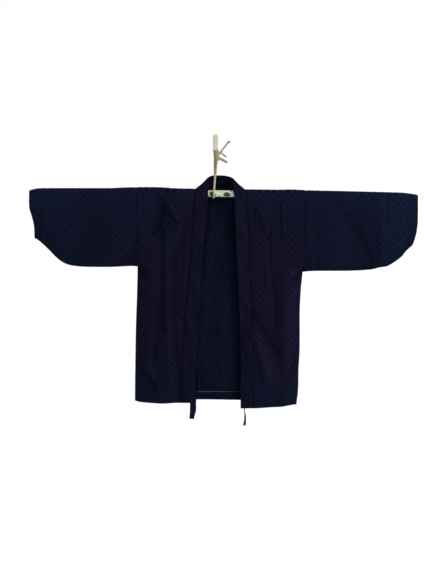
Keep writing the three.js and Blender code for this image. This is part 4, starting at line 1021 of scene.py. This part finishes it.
# Ties: x, y, z and turn of sections down each one
ties = {
    "left": [
        (-71, -35.6, -728, 5), (-69, -35, -744, -4), (-62.5, -33, -762, -45),
        (-61, -32.5, -790, -58), (-65, -33, -822, -45), (-73.5, -35.6, -850, -8),
        (-74.3, -36.4, -872, 0), (-74.8, -37, -888, -10), (-77.4, -37, -902, -36), (-79, -37, -914, -44),
    ],
    "right": [
        (98, -37.8, -728, -6), (98, -37.6, -752, -6), (97.5, -34, -790, 0), (97, -32, -830, 14),
        (97, -29.8, -862, 60), (94.8, -30, -886, 86), (97.2, -31, -900, 80), (97.8, -31.6, -912, 75.5),
        (96.8, -32.4, -924, 70), (95.2, -33, -936, 65),
    ],
    "width": {"left": 20.8, "right": 19.7}, "thickness": 2.4, "length": 190, "pucker": 0.02,
    "rings": 48, "around": 20,
}


# A round of values drawn out towards the corners of a box
def squared(values, power, size):
    return np.sign(values) * np.abs(values) ** power * size / 2


def makeTie(side):
    sections = np.array(ties[side], float)
    steps = np.linspace(0, len(sections) - 1, ties["rings"])
    places = curvesAt(np.column_stack([np.arange(len(sections)), sections]), steps, (1, 2, 3, 4))
    turn = np.radians(places[:, 3])
    angle = anglesAround(ties["around"])
    wide = squared(np.cos(angle), 0.35, ties["width"][side])
    deep = squared(np.sin(angle), 0.5, ties["thickness"])
    pucker = 1 + ties["pucker"] * np.sin(steps * 3.1)
    across = np.stack([np.cos(turn), np.sin(turn), 0 * turn], -1)
    outward = np.stack([np.sin(turn), -np.cos(turn), 0 * turn], -1)
    rings = ringsRound(places[:, :3], across, outward, wide * pucker[:, None], deep[None, :])
    uvStep = ties["width"][side] * 2.1 / ties["around"], ties["length"] / ties["rings"]
    return tubeMesh("tie" + side.capitalize(), rings * mm, tieCotton, uvStep)


for side, length in (("left", 0.192), ("right", 0.210)):
    tie = place(makeTie(side), "tie_" + side)
print("selvedge and ties made")


# Rod, covered with the print, its ends tucked in
def makeRod():
    ends, thinner = np.array(rod["tuck"]).T
    length = np.linspace(rod["left"] + rod["plainFrom"], rod["right"] - rod["plainFrom"], rod["rings"])
    x = np.concatenate([rod["left"] + ends, length, rod["right"] - ends[::-1]])
    radius = rod["radius"] - np.concatenate([thinner, 0 * length, thinner[::-1]])
    radius += 0.12 * np.sin(x / 9.0) * np.sin(x / 23.0)
    angle, radius = anglesAround(rod["around"]), radius[:, None]
    centres = np.stack([x, rod["y"] + 0 * x, rodAxisZ(x)], -1)
    outward, up = (np.tile(axis, (len(x), 1)) for axis in ((0, 1, 0), (0, 0, 1)))
    rings = ringsRound(centres, outward, up, radius * np.sin(angle), radius * np.cos(angle))
    uvStep = 2 * math.pi * rod["radius"] / rod["around"], rod["printStep"]
    return tubeMesh("rodCover", rings * mm, printed, uvStep)


place(makeRod(), "rod")
print("rod made")

hook = {"stretch": 1.05, "flat": math.radians(2), "sharp": math.radians(35), "rounding": 0.0007}


# Wall hook: the frame's own shape a little larger above its middle, with its edges rounded
def makeHook():
    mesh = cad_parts["wall_hook"].data.copy()
    mesh.name = "wallHook"
    work = bmesh.new()
    work.from_mesh(mesh)
    for vert in work.verts:
        vert.co.x *= hook["stretch"]
        vert.co.z *= hook["stretch"] if vert.co.z > 0 else 1
    bmesh.ops.remove_doubles(work, verts=work.verts, dist=1e-5)
    bmesh.ops.dissolve_limit(work, angle_limit=hook["flat"], verts=work.verts, edges=work.edges)
    sharp = [edge for edge in work.edges if edge.is_manifold and edge.calc_face_angle(0) > hook["sharp"]]
    bmesh.ops.bevel(work, geom=sharp, offset=hook["rounding"], segments=3, affect="EDGES", profile=0.5)
    work.to_mesh(mesh)
    work.free()
    mesh.materials.clear()
    mesh.materials.append(hookPlastic)
    return finishMesh("wallHook", mesh)


place(makeHook(), "wall_hook")
print("hook made")

# Cord: the loop over the hook and round the rod, and the ends out of its knot
cordRoutes = {
    "loop": [
        (6.3, -21.2, -33), (6.4, -20.3, -26), (6.3, -20, -22), (4.5, -20, -17.4), (0, -20, -15.5),
        (-4.5, -20, -17.4), (-6.3, -20, -22), (-5, -20, -30), (-3.5, -19.6, -46), (-3.4, -19, -72),
        (-3.1, -18.2, -102), (-2.6, -17.3, -126), (-4.6, -16.1, -154), (-6.2, -15.6, -169.4),
        (-6.6, -19.8, -179.4), (-6.4, -30, -183.6), (-6, -40.2, -179.4), (-5.6, -44.4, -169.4),
        (-4.6, -43.2, -154), (-3.8, -39.4, -136), (-2, -36.4, -120), (0.6, -33.8, -106), (2.6, -29.4, -80),
        (5.8, -25.4, -57),
    ],
    "longTail": [
        (8, -21.6, -38), (11.2, -20.6, -35.6), (15.6, -21, -33), (23.4, -22.5, -23.4),
        (32, -24.6, -12.4), (40.8, -26.6, -1.6),
    ],
    "shortTail": [
        (4, -24.4, -42.4), (12, -26.6, -37.8), (17, -27, -35.8), (23, -27.8, -39.6),
        (29, -28.8, -44), (35.4, -30, -48.8),
    ],
    "bow": [
        (8.4, -21, -49), (12, -21, -50.6), (20.6, -21.8, -55.2), (29, -22.8, -60),
        (35.4, -23.6, -63.4), (38, -26, -65.8), (35.2, -28.4, -66.2), (28, -27.8, -62.8),
        (19.6, -26.8, -58.4), (11.6, -25.8, -54.2), (8, -25, -52.2),
    ],
}
cordSize = {"diameter": 6, "spacing": 1.2, "stepsPerTurn": 24}
knots = {
    "mainKnot": {
        "centre": (4.9, -25, -43.4), "radius": 5.5, "deep": 0.62, "taper": 0.22, "rise": 31, "lean": -2.2,
        "tilt": 2, "turns": 5.8, "diameter": 6,
        "tucked": [(0.6, -22.8, -84), (0.8, -22.8, -76), (1.3, -23, -68), (3.4, -23.6, -61)]},
    "endKnot": {
        "centre": (43.4, -27, 0.6), "radius": 3.3, "deep": 0.8, "taper": 0.2, "rise": 4.8, "lean": 2.4,
        "tilt": 0.9, "turns": 2.4, "diameter": 5.4, "tucked": []},
}


# A round cord along a smooth line through a route, and its length in metres
def makeCord(name, route, diameter):
    route = np.array(route, float)
    keys = np.concatenate([[0], np.cumsum(np.linalg.norm(np.diff(route, axis=0), axis=1))])
    at = np.linspace(0, keys[-1], max(int(keys[-1] / cordSize["spacing"]), 8))
    points = curvesAt(np.column_stack([keys, route]), at, (1, 2, 3))
    curve = bpy.data.curves.new(name, "CURVE")
    curve.dimensions = "3D"
    curve.bevel_depth = diameter / 2 * mm
    curve.bevel_resolution = 4
    curve.use_fill_caps = True
    spline = curve.splines.new("POLY")
    spline.points.add(len(points) - 1)
    for point, target in zip(points, spline.points):
        target.co = (*(point * mm), 1)
    spline.use_smooth = True
    curve.materials.append(cordCotton)
    length = float(np.linalg.norm(np.diff(points, axis=0), axis=1).sum()) * mm
    return linked(name, curve), length


# A ball of cord wound round itself, over a tucked strand
def makeKnot(name, look):
    count = int(look["turns"] * cordSize["stepsPerTurn"])
    angle = np.linspace(0, look["turns"] * 2 * math.pi, count)
    share = angle / angle[-1] - 0.5
    bulge = look["radius"] * (1 - look["taper"] * (2 * share) ** 2)
    wound = look["centre"] + np.stack([
        bulge * np.cos(angle) + look["lean"] * share,
        look["deep"] * bulge * np.sin(angle),
        look["rise"] * share + look["tilt"] * np.cos(angle),
    ], -1)
    route = [*look["tucked"], *wound]
    return finishMesh(name, settled(makeCord(name, route, look["diameter"])[0], name))


mainKnot, endKnot = (place(makeKnot(name, knots[name]), node)
                     for name, node in (("mainKnot", "cord_knot"), ("endKnot", "cord_end_knot")))
for name, node, lay, farEnd, pieces in (("loop", "cord_loop", "hanging", "object", [mainKnot]),
                                        ("longTail", "cord_long_tail", "loose", "knot", [endKnot]),
                                        ("shortTail", "cord_short_tail", "loose", "bare", []),
                                        ("bow", "cord_bow", "loose", "object", [])):
    cord, length = makeCord("cord" + name[0].upper() + name[1:], cordRoutes[name], cordSize["diameter"])
    place(cord, node)
    start = [float(value) * mm for value in cordRoutes[name][0]]
    print("cord", name, round(length * 1000), "mm")

# Stage, lights and camera, in metres
stage = {"width": 12.0, "front": -5.5, "wall": 1.4, "floor": -2.4, "top": 4.5, "bend": 0.7}


# Pale paper, seen from its front only so that the back of the garment can be looked at
def paleSweep():
    material, tree = newMaterial("paleSweep")
    surface = setSurface(tree, linear("#fdfdfd"), 0.9, 0.1)
    behind = addNode(tree, "ShaderNodeNewGeometry").outputs["Backfacing"]
    clear = addNode(tree, "ShaderNodeBsdfTransparent").outputs[0]
    mixed = addNode(tree, "ShaderNodeMixShader", {0: behind, 1: surface.outputs[0], 2: clear})
    tree.links.new(mixed.outputs[0], tree.nodes["Material Output"].inputs["Surface"])
    return material


def makeSweep():
    profile = [(stage["front"], stage["floor"])]
    for step in range(13):
        turn = step / 12 * math.pi / 2
        profile.append((stage["wall"] - stage["bend"] + stage["bend"] * math.sin(turn),
                        stage["floor"] + stage["bend"] - stage["bend"] * math.cos(turn)))
    profile.append((stage["wall"], stage["top"]))
    half = stage["width"] / 2
    points = [(x, y, z) for y, z in profile for x in (-half, half)]
    faces = [(2 * k, 2 * k + 1, 2 * k + 3, 2 * k + 2) for k in range(len(profile) - 1)]
    mesh = bpy.data.meshes.new("sweep")
    mesh.from_pydata(points, [], faces)
    mesh.materials.append(paleSweep())
    mesh.shade_smooth()
    return linked("sweep", mesh)


makeSweep()


# A rectangular light turned towards a target
def addLight(name, position, target, size, power):
    light = bpy.data.lights.new(name, "AREA")
    light.shape = "RECTANGLE"
    light.size, light.size_y = size
    light.energy = power
    made = linked(name, light)
    made.location = position
    away = [end - start for end, start in zip(target, position)]
    flat = math.hypot(away[0], away[1])
    made.rotation_euler = (math.pi / 2 + math.atan2(away[2], flat), 0, math.atan2(-away[0], away[1]))


addLight("key", (4.6, -3.0, 3.2), (0, 0, -0.5), (1.8, 1.8), 340)
addLight("fill", (-2.6, -4.6, -0.2), (0, 0, -0.5), (2.4, 2.4), 34)
addLight("wallLeft", (-2.3, 0.2, -0.4), (-0.2, 1.4, -0.5), (0.8, 3.0), 12)
addLight("wallRight", (2.3, 0.2, -0.4), (0.2, 1.4, -0.5), (0.8, 3.0), 8)
world = bpy.data.worlds.new("studio")
world.use_nodes = True
world.node_tree.nodes["Background"].inputs["Color"].default_value = linear("#f4f6fa")
world.node_tree.nodes["Background"].inputs["Strength"].default_value = 0.36
scene.world = world

shot = {"width": 1.4289, "distance": 7.0, "x": 0.003, "y": -0.042, "z": -0.4835, "sensor": 36}
camera = linked("camera", bpy.data.cameras.new("camera"))
camera.location = (shot["x"], shot["y"] - shot["distance"], shot["z"])
camera.rotation_euler = (math.pi / 2, 0, 0)
camera.data.sensor_fit = "HORIZONTAL"
camera.data.sensor_width = shot["sensor"]
camera.data.lens = shot["sensor"] * shot["distance"] / shot["width"]
camera.data.clip_end = 50
scene.camera = camera
scene.view_settings.view_transform = "Standard"
print("stage set")
